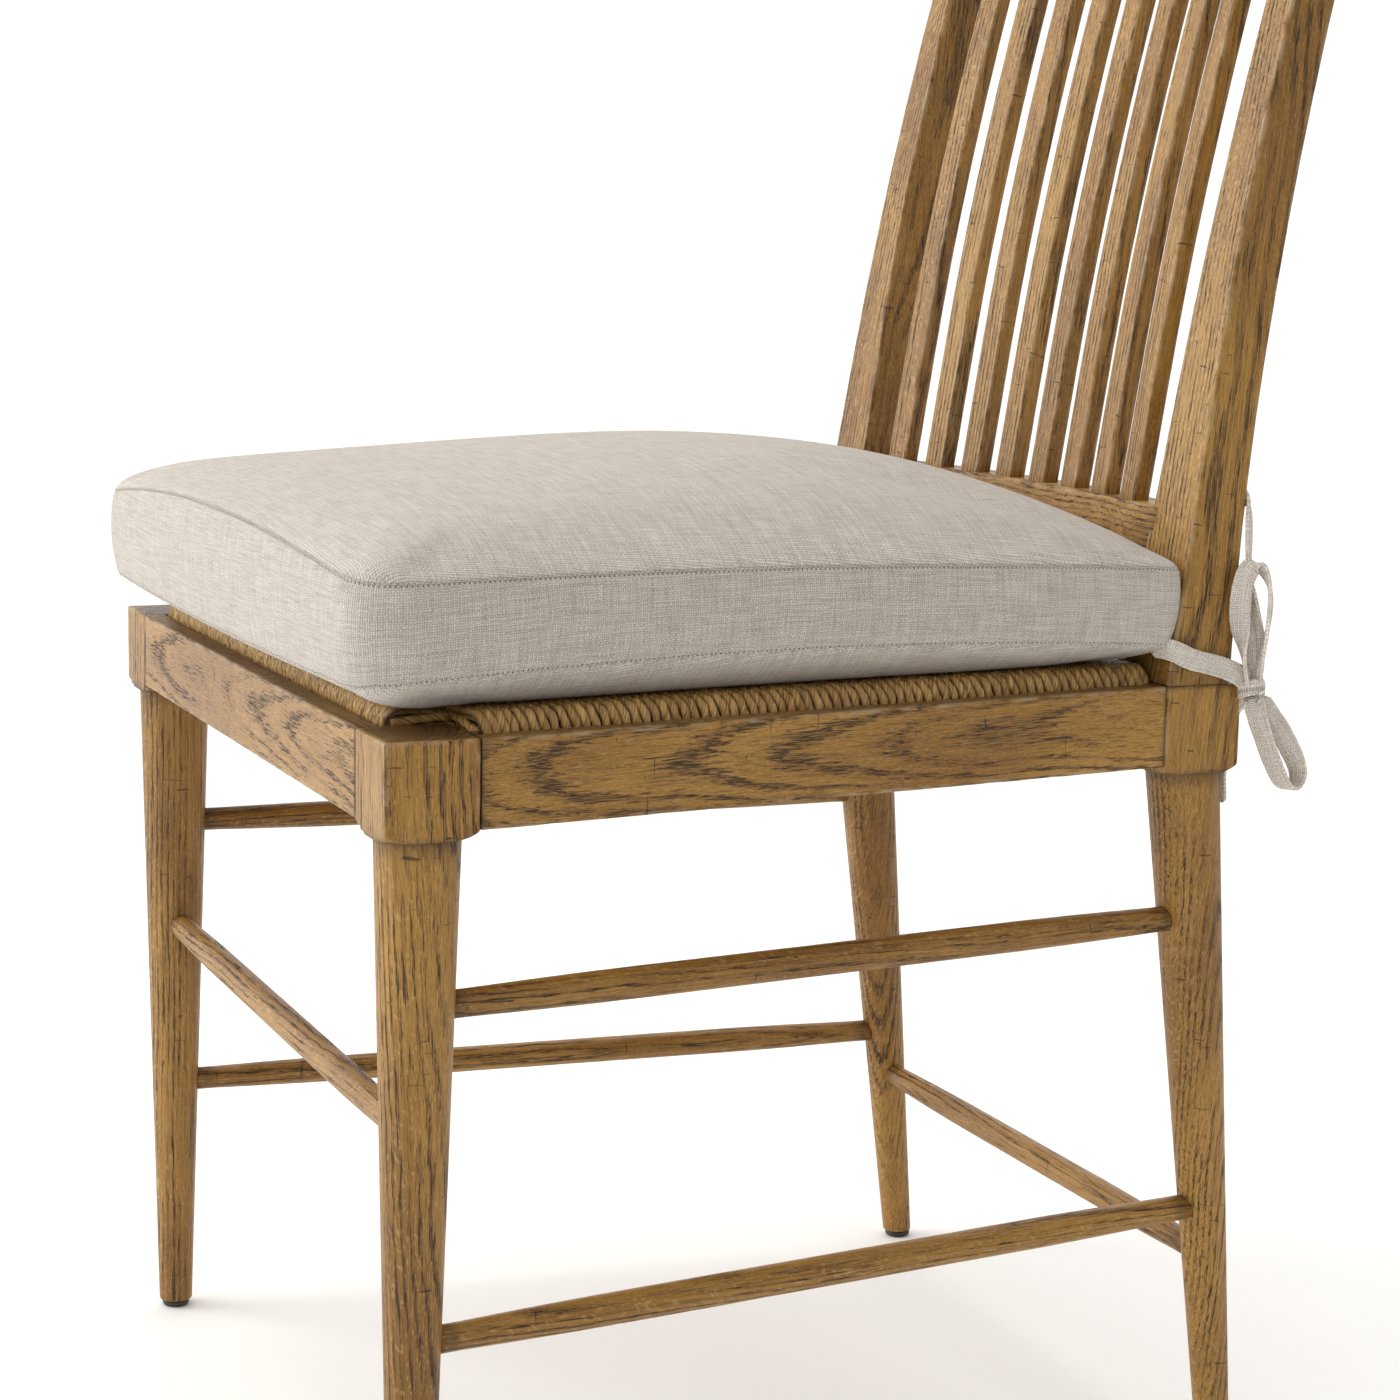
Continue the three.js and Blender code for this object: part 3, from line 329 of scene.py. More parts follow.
def build(name, points, faces, material, layers=None, uvs=None):
    """A piece of the object from points in millimetres from the datum."""
    mesh = bpy.data.meshes.new(name)
    mesh.from_pydata(((np.asarray(points) + DATUM) / MM).tolist(), [], [list(f) for f in faces])
    for key, values in (layers or {}).items():
        values = np.asarray(values, dtype=np.float32)
        vector = values.ndim == 2
        layer = mesh.attributes.new(key, "FLOAT_VECTOR" if vector else "FLOAT", "POINT")
        layer.data.foreach_set("vector" if vector else "value", values.ravel())
    for key, values in (uvs or {}).items():
        layer = mesh.uv_layers.new(name=key)
        layer.data.foreach_set("uv", np.asarray(values, dtype=np.float32).ravel())
    mesh.polygons.foreach_set("use_smooth", [True] * len(mesh.polygons))
    mesh.materials.append(material)
    mesh.update()
    piece = stand(name, mesh)
    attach(piece, "root")
    return piece


def ring_faces(rings, sides, start=0):
    """Quads between rings of `sides` points each, all facing outward."""
    faces = []
    for a in range(start, start + (rings - 1) * sides, sides):
        for k in range(sides):
            n = (k + 1) % sides
            faces.append((a + k, a + n, a + sides + n, a + sides + k))
    return faces


def tube_faces(rings, sides, start=0):
    """Quads between rings, and a cap on each end."""
    last = start + (rings - 1) * sides
    faces = ring_faces(rings, sides, start)
    faces.append(tuple(start + k for k in reversed(range(sides))))
    faces.append(tuple(range(last, last + sides)))
    return faces


class Stack:
    """Rings of points that become one closed skin, with what the wood material needs to know."""

    def __init__(self):
        self.rings = []
        self.wear = []
        self.grime_and_painted_shade = []

    # the last argument darkens the oak: dark finish in joints, darker end grain and feet, and painted shade
    # on the seat rails' tops
    def add(self, ring, wear, grime_and_painted_shade=0.0):
        self.rings.append(np.asarray(ring, float))
        self.wear.append(np.asarray(wear, float) * np.ones(len(ring)))
        self.grime_and_painted_shade.append(np.asarray(grime_and_painted_shade, float) * np.ones(len(ring)))

    def finish(self, name, material, timber, weighted=True):
        rings = np.array(self.rings)
        count, sides, _ = rings.shape
        points = rings.reshape(-1, 3)
        faces = ring_faces(count, sides)
        first = len(points)
        points = np.vstack([points, rings[0].mean(axis=0), rings[-1].mean(axis=0)])
        last = (count - 1) * sides
        faces += [((k + 1) % sides, k, first) for k in range(sides)]
        faces += [(last + k, last + (k + 1) % sides, first + 1) for k in range(sides)]
        wear = np.concatenate([np.array(self.wear).ravel(), [0, 0]])
        grime_and_painted_shade = np.concatenate([np.array(self.grime_and_painted_shade).ravel(), [self.grime_and_painted_shade[0].min(), self.grime_and_painted_shade[-1].min()]])
        layers = {"grain": timber(points), "wear": wear, "grime_and_painted_shade": grime_and_painted_shade}
        piece = build(name, points, faces, material, layers)
        if weighted:
            piece.modifiers.new("flats", "WEIGHTED_NORMAL").weight = 60
        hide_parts(name)


def timber(origin, across, along, seed, depth, offset=0.0, turn=0.0, drift=0.0):
    """Where a piece lay in its tree: returns a function from points to (from pith, from pith, along).

    depth is how far the pith lies from the origin along `across`, turned by `turn` about `along`.
    drift tilts the grain, so that growth rings run out of the face in pointed arches.
    """
    random = Random(seed)
    along = unit(np.array(along, float))
    across = np.array(across, float)
    across = unit(across - along * (across @ along))
    other = np.cross(along, across)
    a = across * math.cos(turn) + other * math.sin(turn)
    b = np.cross(along, a)
    shift = random.uniform(0, 4000)

    def where(points):
        local = np.asarray(points) - np.asarray(origin)
        s = local @ along
        bend = ripple(s, seed + 11, (430.0, 240.0, 130.0)) * 1.4
        radial = local @ a + depth + drift * s + bend
        return np.stack([radial, local @ b + offset + bend * 0.4, s + shift], axis=1) / MM

    return where


def joint_shade(distance, reach=3.0):
    """Dark finish left in a joint, fading with distance from it."""
    return math.exp(-abs(distance) / reach)


# ---------------------------------------------------------------- node graphs for the materials


class Graph:
    """A material's nodes, written as short calls that return sockets."""

    def __init__(self, name):
        self.material = bpy.data.materials.new(name)
        self.material.use_nodes = True
        self.tree = self.material.node_tree
        self.tree.nodes.clear()
        self.shader = self.tree.nodes.new("ShaderNodeBsdfPrincipled")
        output = self.tree.nodes.new("ShaderNodeOutputMaterial")
        self.tree.links.new(self.shader.outputs["BSDF"], output.inputs["Surface"])

    def feed(self, socket, source):
        if isinstance(source, bpy.types.NodeSocket):
            self.tree.links.new(source, socket)
        elif source is not None:
            socket.default_value = source

    def node(self, kind, *sources, **named):
        """A new node, with its inputs fed in order and by name."""
        node = self.tree.nodes.new("ShaderNode" + kind)
        for socket, source in zip(node.inputs, sources):
            self.feed(socket, source)
        for key, source in named.items():
            self.feed(node.inputs[key], source)
        return node

    def layer(self, name, output="Vector"):
        node = self.node("Attribute")
        node.attribute_name = name
        return node.outputs[output]

    def amount(self, name):
        return self.layer(name, "Fac")

    def uv(self, name):
        node = self.node("UVMap")
        node.uv_map = name
        return node.outputs[0]

    def place(self):
        """The object's own place in space."""
        return self.node("TexCoord").outputs["Object"]

    def math(self, operation, *sources):
        node = self.node("Math", *sources)
        node.operation = operation
        return node.outputs[0]

    def times(self, a, b):
        return self.math("MULTIPLY", a, b)

    def minus(self, a, b):
        return self.math("SUBTRACT", a, b)

    def length(self, vector):
        node = self.node("VectorMath", vector)
        node.operation = "LENGTH"
        return node.outputs["Value"]

    def split(self, vector):
        return self.node("SeparateXYZ", vector).outputs

    def join(self, x=0.0, y=0.0, z=0.0):
        return self.node("CombineXYZ", x, y, z).outputs[0]

    def noise(self, at, detail=2.0, roughness=0.5, distortion=0.0, scale=1.0):
        named = {"Scale": scale, "Detail": detail, "Roughness": roughness, "Distortion": distortion}
        return self.node("TexNoise", Vector=at, **named).outputs["Fac"]

    def cells(self, at):
        return self.node("TexVoronoi", Vector=at, Scale=1.0).outputs

    def scaled(self, at, scales):
        node = self.node("VectorMath", at, scales)
        node.operation = "MULTIPLY"
        return node.outputs[0]

    def grit(self, at, scales, *settings):
        """Noise with its own scale along each axis."""
        return self.noise(self.scaled(at, scales), *settings)

    def stretch(self, source, low, high, to_low=0.0, to_high=1.0, smooth=True):
        node = self.node("MapRange", source, low, high, to_low, to_high)
        node.interpolation_type = "SMOOTHSTEP" if smooth else "LINEAR"
        return node.outputs["Result"]

    def blend(self, factor, a, b):
        node = self.node("Mix")
        node.data_type = "RGBA"
        for index, source in ((0, factor), (6, a), (7, b)):
            self.feed(node.inputs[index], source)
        return node.outputs[2]

    def stain(self, tone, amount, strength, *paint):
        """Lays a colour over a tone, by an amount."""
        return self.blend(self.times(amount, strength), tone, colour(*paint))

    def bump(self, height, distance, normal=None):
        return self.node("Bump", Height=height, Distance=distance, Normal=normal).outputs["Normal"]

    def surface(self, tone, roughness, normal=None, **plain):
        inputs = self.shader.inputs
        for key, source in (("Base Color", tone), ("Roughness", roughness), ("Normal", normal)):
            self.feed(inputs[key], source)
        for key, value in plain.items():
            inputs[key.replace("_", " ")].default_value = value
        return self.material


def colour(red, green, blue):
    """A linear colour from display values between 0 and 255."""
    parts = [c / 255 for c in (red, green, blue)]
    return (*(c / 12.92 if c <= 0.04045 else ((c + 0.055) / 1.055) ** 2.4 for c in parts), 1.0)


RING = 0.0034  # metres between growth rings


def oak_material():
    """Wire-brushed oak, stained golden, with dark filled pores, ray flecks, dents, worm holes and wear."""
    g = Graph("oak")
    grain = g.layer("grain")
    x, y, along = g.split(grain)

    def streaks(across, lengthwise, detail=2.0, roughness=0.5, slant=0.0):
        """Noise drawn out along the grain; both counts are per metre."""
        run = g.math("MULTIPLY_ADD", x, slant, along) if slant else along
        at = g.join(g.times(x, across[0]), g.times(y, across[1]), g.times(run, lengthwise))
        return g.noise(at, detail, roughness)

    radius = g.length(g.join(x, y, 0.0))
    warp = streaks((22, 22), 1.6)
    jitter = streaks((800, 800), 48, 2.0, 0.6)
    radius = g.math("MULTIPLY_ADD", g.minus(warp, 0.5), 0.007, radius)
    radius = g.math("MULTIPLY_ADD", g.minus(jitter, 0.5), 0.0034, radius)
    phase = g.math("FRACT", g.math("DIVIDE", radius, RING))
    early = g.times(g.stretch(phase, 0.0, 0.14), g.stretch(phase, 0.62, 0.24))
    vary = g.noise(g.join(g.times(radius, 90), 0.0, g.times(along, 9)), 2.0, 0.5)
    early = g.times(early, g.stretch(vary, 0.3, 0.58))

    pores = streaks((1700, 1700), 70, 3.0, 0.68)
    threshold = g.stretch(early, 0.0, 1.0, 0.66, 0.485, smooth=False)
    open_grain = g.stretch(g.minus(pores, threshold), -0.02, 0.05)
    fibre = streaks((4200, 4200), 50, 3.0, 0.6)
    thread = streaks((1100, 1100), 16, 3.0, 0.65)
    rays = g.stretch(streaks((110, 2600), 330, 1.0, 0.4, 0.7), 0.55, 0.7)
    patch = streaks((20, 20), 6)

    tone = g.blend(g.stretch(patch, 0.3, 0.7), colour(134, 93, 32), colour(172, 128, 56))
    tone = g.blend(g.stretch(thread, 0.5, 0.34, 0.0, 0.65), tone, colour(94, 61, 24))
    tone = g.blend(g.stretch(thread, 0.55, 0.72, 0.0, 0.4), tone, colour(200, 154, 82))
    tone = g.blend(g.stretch(fibre, 0.45, 0.7, 0.0, 0.6), tone, colour(92, 62, 30))
    tone = g.stain(tone, rays, 0.3, 208, 170, 114)
    tone = g.stain(tone, early, 0.42, 84, 58, 32)
    tone = g.stain(tone, open_grain, 0.85, 44, 31, 20)

    wear = g.amount("wear")
    chips = g.grit(grain, (130.0, 130.0, 60.0), 3.0, 0.6)
    bare = g.times(g.stretch(wear, 0.35, 0.95), g.stretch(chips, 0.42, 0.62))
    tone = g.stain(tone, bare, 0.5, 168, 146, 116)
    rubbed = g.times(g.stretch(wear, 0.3, 0.9), g.stretch(chips, 0.5, 0.3))
    tone = g.stain(tone, rubbed, 0.5, 62, 45, 30)
    # darkening layer: dark finish in joints, darker end grain and feet, and painted shade on the seat rails'
    # tops under the cushion
    tone = g.stain(tone, g.amount("grime_and_painted_shade"), 0.9, 38, 28, 20)

    holes = g.cells(g.scaled(grain, (62.0, 62.0, 48.0)))
    few = g.stretch(g.split(holes["Color"])[0], 0.66, 0.68)
    hole = g.times(g.stretch(holes["Distance"], 0.05, 0.03), few)
    tone = g.blend(hole, tone, colour(24, 18, 14))
    cut_at = g.scaled(grain, (95.0, 55.0, 620.0))
    cuts = g.stretch(g.noise(cut_at, 0.0, 0.0, 0.9), 0.81, 0.85)
    tone = g.stain(tone, cuts, 0.7, 36, 26, 18)

    height = g.minus(g.times(fibre, 0.25), g.times(open_grain, 0.7))
    height = g.minus(height, g.times(g.math("MAXIMUM", hole, cuts), 1.2))
    dents = g.grit(grain, (60.0, 60.0, 28.0), 2.0, 0.5)
    normal = g.bump(height, 0.00022, g.bump(dents, 0.0016))
    gloss = g.math("MULTIPLY_ADD", fibre, 0.4, open_grain)
    roughness = g.stretch(gloss, 0.0, 1.2, 0.38, 0.7, smooth=False)
    return g.surface(tone, roughness, normal, Specular_IOR_Level=0.4)


def inner_wood_material():
    """Pale unfinished hardwood of the hidden frame, coloured from the object's own place in space."""
    g = Graph("inner_wood")
    place = g.place()
    streak = g.grit(place, (40.0, 900.0, 700.0), 3.0, 0.6)
    bands = g.grit(place, (6.0, 90.0, 70.0), 2.0, 0.5)
    tone = g.blend(g.stretch(bands, 0.3, 0.7), colour(176, 142, 98), colour(200, 170, 126))
    tone = g.blend(g.stretch(streak, 0.45, 0.85, 0.0, 0.5), tone, colour(140, 106, 66))
    return g.surface(tone, 0.75, g.bump(streak, 0.0002), Specular_IOR_Level=0.3)


CORD_LAY = 19.0  # length of one turn of a cord's two plies


def rush_material():
    """Golden twisted fibre cord: fine plies that follow the twist, with paler and darker cords, and painted
    shade in the gaps between cords.
    """
    g = Graph("rush")
    turn, run, lot = g.split(g.layer("strand"))
    lay = g.math("MULTIPLY_ADD", run, 2 * math.pi * MM / CORD_LAY, turn)
    fibre_at = g.join(g.times(lay, 6.5), g.times(run, 70.0), g.times(lot, 37.0))
    fibre = g.noise(fibre_at, 3.0, 0.65)
    coarse_at = g.join(g.times(lay, 2.4), g.times(run, 30.0), g.times(lot, 91.0))
    coarse = g.noise(coarse_at, 2.0, 0.5)
    tone = g.blend(g.stretch(coarse, 0.36, 0.64), colour(184, 130, 56), colour(246, 198, 116))
    tone = g.blend(g.stretch(fibre, 0.53, 0.68, 0.0, 0.85), tone, colour(255, 228, 172))
    tone = g.blend(g.stretch(fibre, 0.47, 0.33, 0.0, 0.8), tone, colour(84, 52, 20))
    tone = g.blend(g.stretch(lot, 0.2, 1.0, 0.0, 0.25), tone, colour(130, 90, 44))
    # painted shade: darkens the sides of each cord that press against its neighbours
    tone = g.stain(tone, g.amount("grime_and_painted_shade"), 0.95, 44, 28, 13)
    height = g.math("MULTIPLY_ADD", coarse, 1.2, fibre)
    return g.surface(tone, 0.3, g.bump(height, 0.001), Specular_IOR_Level=0.8)


THREAD = 0.00115  # metres between threads of the linen
STITCH = 2.5  # millimetres from one stitch to the next
HOLE_RADIUS = 0.00052  # metres
HOLES_FROM_SEAM = 0.0012


def needle_holes(g, weave):
    """Small pulled holes in the band, one at each stitch, just inside both of its seams; the linen paints
    them dark as shade in the holes.
    """
    run, below_top, _ = g.split(g.uv("seam"))
    above_bottom = g.split(weave)[1]
    pitch = STITCH / MM
    along = g.times(g.minus(g.math("FRACT", g.math("DIVIDE", run, pitch)), 0.5), pitch)
    top = g.math("ABSOLUTE", g.math("ADD", below_top, HOLES_FROM_SEAM))
    bottom = g.math("ABSOLUTE", g.minus(above_bottom, HOLES_FROM_SEAM))
    across = g.math("MINIMUM", top, bottom)
    reach = g.length(g.join(along, across, 0.0))
    on_band = g.math("GREATER_THAN", run, 1e-5)
    return g.times(g.stretch(reach, HOLE_RADIUS, HOLE_RADIUS * 0.4), on_band)


def linen_material(name, pale=1.0, seams=True):
    """Plain-weave linen with slubs, pale and grey threads, a soft nap and painted shade in the gaps between
    threads; seams add folds and holes, both darkened with painted shade.
    """
    g = Graph(name)
    weave = g.uv("weave")
    x, y, _ = g.split(weave)
    sway = g.noise(g.join(g.times(x, 70), g.times(y, 70)), 1.0, 0.5)
    sway = g.times(g.minus(sway, 0.5), 0.0016)
    x = g.math("ADD", x, sway)
    y = g.minus(y, sway)
    warp = g.times(x, math.pi / THREAD)
    weft = g.times(y, math.pi / THREAD)
    over = g.times(g.math("SINE", warp), g.math("SINE", weft))
    ridge_x = g.math("ABSOLUTE", g.math("COSINE", warp))
    ridge_y = g.math("ABSOLUTE", g.math("COSINE", weft))
    gaps = g.times(ridge_x, ridge_y)
    warp_slub = g.noise(g.join(g.math("DIVIDE", x, THREAD), g.times(y, 48)), 2.0, 0.6)
    weft_slub = g.noise(g.join(g.times(x, 44), g.math("DIVIDE", y, THREAD), 3.7), 2.0, 0.6)
    fuzz = g.noise(g.join(g.times(x, 1900), g.times(y, 1900)), 2.0, 0.6)
    up = g.stretch(over, -0.5, 0.5)
    thread = g.blend(up, g.join(warp_slub, warp_slub, warp_slub), g.join(weft_slub, weft_slub, weft_slub))
    thread = g.split(thread)[0]

    # pale scales every colour; above 1 it is painted light, used for the ties
    def shade(*parts):
        return colour(*(min(255, part * pale) for part in parts))

    tone = g.blend(g.stretch(thread, 0.28, 0.74), shade(180, 169, 158), shade(225, 217, 207))
    tone = g.blend(g.stretch(thread, 0.36, 0.2, 0.0, 0.6), tone, shade(140, 127, 118))
    # painted shade in the gaps between threads
    tone = g.blend(g.stretch(gaps, 0.5, 1.0, 0.0, 0.6), tone, shade(116, 104, 96))
    tone = g.blend(g.stretch(fuzz, 0.4, 0.7, 0.0, 0.18), tone, shade(236, 230, 221))
    height = g.math("ADD", g.times(thread, 0.8), g.times(fuzz, 0.25))
    height = g.minus(height, g.times(gaps, 0.8))
    if seams:
        # painted shade in the pressed seams, plus a dip in the bump
        fold = g.stretch(g.amount("fold"), 0.62, 1.0)
        tone = g.stain(tone, fold, 0.4, 96, 84, 76)
        height = g.minus(height, fold)
        # needle holes darkened with painted shade, and sunk in the bump
        hole = needle_holes(g, weave)
        tone = g.stain(tone, hole, 0.8, 88, 76, 69)
        height = g.minus(height, g.times(hole, 2.0))
    normal = g.bump(height, 0.0005)
    return g.surface(tone, 0.92, normal, Sheen_Weight=0.25, Sheen_Roughness=0.5, Specular_IOR_Level=0.2)


def thread_material():
    """Sewing thread a little darker than the linen, with its twist."""
    g = Graph("thread")
    place = g.place()
    twist = g.grit(place, (1800.0, 1800.0, 1800.0), 2.0, 0.5)
    tone = g.blend(g.stretch(twist, 0.3, 0.7), colour(168, 156, 145), colour(206, 197, 187))
    return g.surface(tone, 0.8, g.bump(twist, 0.0001), Sheen_Weight=0.2, Specular_IOR_Level=0.3)


def metal_material():
    g = Graph("screw")
    place = g.place()
    brushed = g.grit(place, (3000.0, 3000.0, 300.0), 2.0, 0.5)
    tone = g.blend(brushed, colour(120, 118, 112), colour(172, 170, 164))
    return g.surface(tone, g.stretch(brushed, 0.2, 0.8, 0.3, 0.5), g.bump(brushed, 0.0001), Metallic=1.0)


def glide_material():
    g = Graph("glide")
    place = g.place()
    speck = g.grit(place, (1400.0, 1400.0, 1400.0), 3.0, 0.6)
    tone = g.blend(speck, colour(38, 32, 28), colour(60, 52, 46))
    return g.surface(tone, g.stretch(speck, 0.2, 0.8, 0.4, 0.6), g.bump(speck, 0.00012))


OAK = oak_material()
INNER_WOOD = inner_wood_material()
RUSH = rush_material()
LINEN = linen_material("linen")
# the ties' linen is the same cloth with every colour 12% paler: painted light, a lit copy of the linen
TIE_LINEN_LIT = linen_material("tie_linen_lit", 1.12, seams=False)
THREAD_LINEN = thread_material()
METAL = metal_material()
GLIDE = glide_material()

# ---------------------------------------------------------------- legs and posts

SHAFT_STEP = 9  # height between the rings of a leg or post
LEDGE_ROOM = 3.2  # how far the turned shoulder stays outside the round leg


def shoulder_radius(z, leg_radius):
    """Radius to which turning has cut the block, where it runs down into the round leg."""
    corner = BLOCK * math.sqrt(0.5) + 1
    t = min(max(z - BLOCK_BOTTOM, 0) / SHOULDER_CUT, 1)
    return leg_radius + (corner - leg_radius) * t**0.7


def round_cut(outline, radius):
    """The outline kept inside a circle about its middle."""
    reach = np.linalg.norm(outline, axis=1)
    return outline * np.minimum(1, radius / reach)[:, None]


def level(outline, x, y, z):
    return np.column_stack([outline[:, 0] + x, outline[:, 1] + y, np.full(len(outline), z)])


def leg_rings(stack, x, leg_y, leg_radius, foot_radius, block_y, block):
    """Rings from the floor up to just under the block's top."""
    square = block.points
    circle = round_cut(square * 4, 1.0)
    per_mm = (leg_radius - foot_radius) / (BLOCK_BOTTOM - FLOOR)
    heights = np.linspace(FOOT + 1.2, BLOCK_BOTTOM - 1.2, int((BLOCK_BOTTOM - FOOT) / SHAFT_STEP))
    foot = foot_radius + per_mm * (FOOT - FLOOR)
    for z, shrink in ((FOOT, 1.2), (FOOT + 0.35, 0.35)):
        stack.add(level(circle * (foot - shrink), x, leg_y(z), z), 0.8, 0.3)
    for z in heights:
        radius = foot_radius + per_mm * (z - FLOOR)
        shade = joint_shade(z - BLOCK_BOTTOM, 3)
        stack.add(level(circle * radius, x, leg_y(z), z), 0, shade * 0.7)
    stack.add(level(circle * (leg_radius - 0.7), x, leg_y(BLOCK_BOTTOM), BLOCK_BOTTOM - 0.1), 0, 1.0)
    ledge = leg_radius + abs(leg_y(BLOCK_BOTTOM) - block_y)
    for t in (0.0, 0.03, 0.1, 0.22, 0.4, 0.6, 0.8, 1.0):
        z = BLOCK_BOTTOM + 0.1 + SHOULDER_CUT * t
        cut = round_cut(square, shoulder_radius(z, ledge + LEDGE_ROOM))
        stack.add(level(cut, x, block_y, z), 0.25, joint_shade(z - BLOCK_BOTTOM, 1.5) * 0.8)


def front_leg(name, side):
    block = rectangle(BLOCK, BLOCK)
    x = side * FRONT_LEG_X
    stack = Stack()
    leg_rings(stack, x, front_leg_y, FRONT_LEG_RADIUS, FRONT_FOOT_RADIUS, FRONT_BLOCK_Y, block)
    for z in np.linspace(BLOCK_BOTTOM + SHOULDER_CUT + 4, -3, 5):
        stack.add(level(block.points, x, FRONT_BLOCK_Y, z), block.edges)
    for z, inset in ((-1.1, 0.0), (-0.35, 0.3), (0.0, 1.1)):
        stack.add(level(block.inset(inset), x, FRONT_BLOCK_Y, z), np.maximum(block.edges, 0.9))
    for part in (0.85, 0.6, 0.3):
        stack.add(level(block.points * part, x, FRONT_BLOCK_Y, 0.0), 0.1, 0.6)
    origin = (x, FRONT_BLOCK_Y, 0)
    stack.finish(name, OAK, timber(origin, (side, 0.35, 0), (0, 0, 1), 40 + side, 26, 6, 0.5, 0.035))


def back_post(name, side):
    block = rectangle(BLOCK, BLOCK)
    x = side * REAR_LEG_X
    stack = Stack()
    leg_rings(stack, x, rear_leg_y, REAR_LEG_RADIUS, REAR_FOOT_RADIUS, REAR_BLOCK_Y, block)
    for z in np.linspace(BLOCK_BOTTOM + SHOULDER_CUT + 4, -3, 5):
        stack.add(level(block.points, x, REAR_BLOCK_Y, z), block.edges)
    for z, inset in ((-1.4, 0.0), (-0.7, 0.3), (-0.3, 0.8)):
        stack.add(level(block.inset(inset), x, REAR_BLOCK_Y, z), block.edges, 0.35)
    post = rectangle(post_width(0), post_depth(0))
    stack.add(level(post.inset(0.6), x, back_middle(0), -0.3), 0.0, 1.0)
    heights = [0.3, 1.2, *np.linspace(SHAFT_STEP, BACK_HEIGHT - 3, int(BACK_HEIGHT / SHAFT_STEP))]
    for z in heights:
        post = rectangle(post_width(z), post_depth(z), 1.5)
        ease = ripple(z, 5 + side) * 0.12 * post.edges
        ring = post.points - post.normals * ease[:, None]
        stack.add(level(ring, x, back_middle(z), z), post.edges, joint_shade(z, 1.2) * 0.8)
    for z, inset in ((BACK_HEIGHT - 1.2, 0.0), (BACK_HEIGHT - 0.4, 0.35), (BACK_HEIGHT, 1.2)):
        post = rectangle(post_width(z), post_depth(z), 1.5)
        stack.add(level(post.inset(inset), x, back_middle(z), z), np.maximum(post.edges, 0.9))
    stack.add(level(post.points * 0.6, x, back_middle(BACK_HEIGHT), BACK_HEIGHT), 0.2)
    origin = (x, BACK_START, 0)
    stack.finish(name, OAK, timber(origin, (side, 0, 0), (0, 0.12, 1), 60 + side, 70, 12, 0.15, 0.02))


# ---------------------------------------------------------------- seat rails

RAIL_STEP = 8  # between the rings of a rail


def rail_section():
    """Across the rail: u inward from the outer face, and height. The well is cut from its inner top."""
    corners = [(0, -RAIL_HEIGHT), (RAIL_THICKNESS, -RAIL_HEIGHT), (RAIL_THICKNESS, -WELL_DEPTH)]
    corners += [(LIP, -WELL_DEPTH), (LIP, 0), (0, 0)]
    return Outline(corners, [ARRIS, 0.8, 0.8, 0.5, 1.2, ARRIS], flat=8)


def along_rail(start, end):
    """Places along a rail with its ends eased, and how far the section is drawn in at each."""
    inner = np.linspace(start + 3, end - 3, int((end - start) / RAIL_STEP))
    places = [start, start + 0.3, start + 0.9, *inner, end - 0.9, end - 0.3, end]
    insets = [0.6, 0.2, 0.0, *np.zeros(len(inner)), 0.0, 0.2, 0.6]
    return list(zip(places, insets))


def seat_rail(name, start, end, corner, seed, drift):
    """A seat rail: corner(s) gives the outer top corner and the inward direction at a place."""
    section = rail_section()
    stack = Stack()
    for s, inset in along_rail(start, end):
        at, inward = corner(s)
        nicks = ripple(s, seed) * 0.18 * section.edges
        outline = section.inset(inset) - section.normals * nicks[:, None]
        ring = at + outline[:, :1] * inward + outline[:, 1:] * np.array([0, 0, 1.0])
        shade = max(joint_shade(s - start, 0.8), joint_shade(end - s, 0.8))
        # painted shade on the rails' tops, which lie under the cushion's overhang
        top_shade = np.clip(1 + section.points[:, 1], 0, 1) * 0.4
        stack.add(ring, section.edges, np.maximum(top_shade, shade))
    at, inward = corner((start + end) / 2)
    along = corner(end)[0] - corner(start)[0]
    wood = timber(at + [0, 0, -RAIL_HEIGHT / 2], inward, along, seed, 33, 5, 0.0, drift)
    stack.finish(name, OAK, wood)


def seat_rails():

    def front(s):
        return np.array([-s, FRONT_FACE, 0.0]), np.array([0, 1.0, 0])

    def back(s):
        return np.array([s, BACK_FACE, 0.0]), np.array([0, -1.0, 0])

    def left(s):
        return np.array([side_x(-s), -s, 0.0]), np.array([-SIDE_SCALE, 0, 0])

    def right(s):
        return np.array([-side_x(s), s, 0.0]), np.array([SIDE_SCALE, 0, 0])

    front_end = FRONT_INNER_X - SEAM
    back_end = BACK_INNER_X - SEAM
    side_front = FRONT_INNER_Y + SEAM
    side_back = BACK_INNER_Y - SEAM
    seat_rail("front_seat_rail", -front_end, front_end, front, 21, 0.05)
    seat_rail("back_seat_rail", -back_end, back_end, back, 22, 0.05)
    seat_rail("side_seat_rail_left", -side_back, -side_front, left, 23, 0.055)
    seat_rail("side_seat_rail_right", side_front, side_back, right, 24, 0.055)


# ---------------------------------------------------------------- stretchers

STRETCHER_SIDES = 28


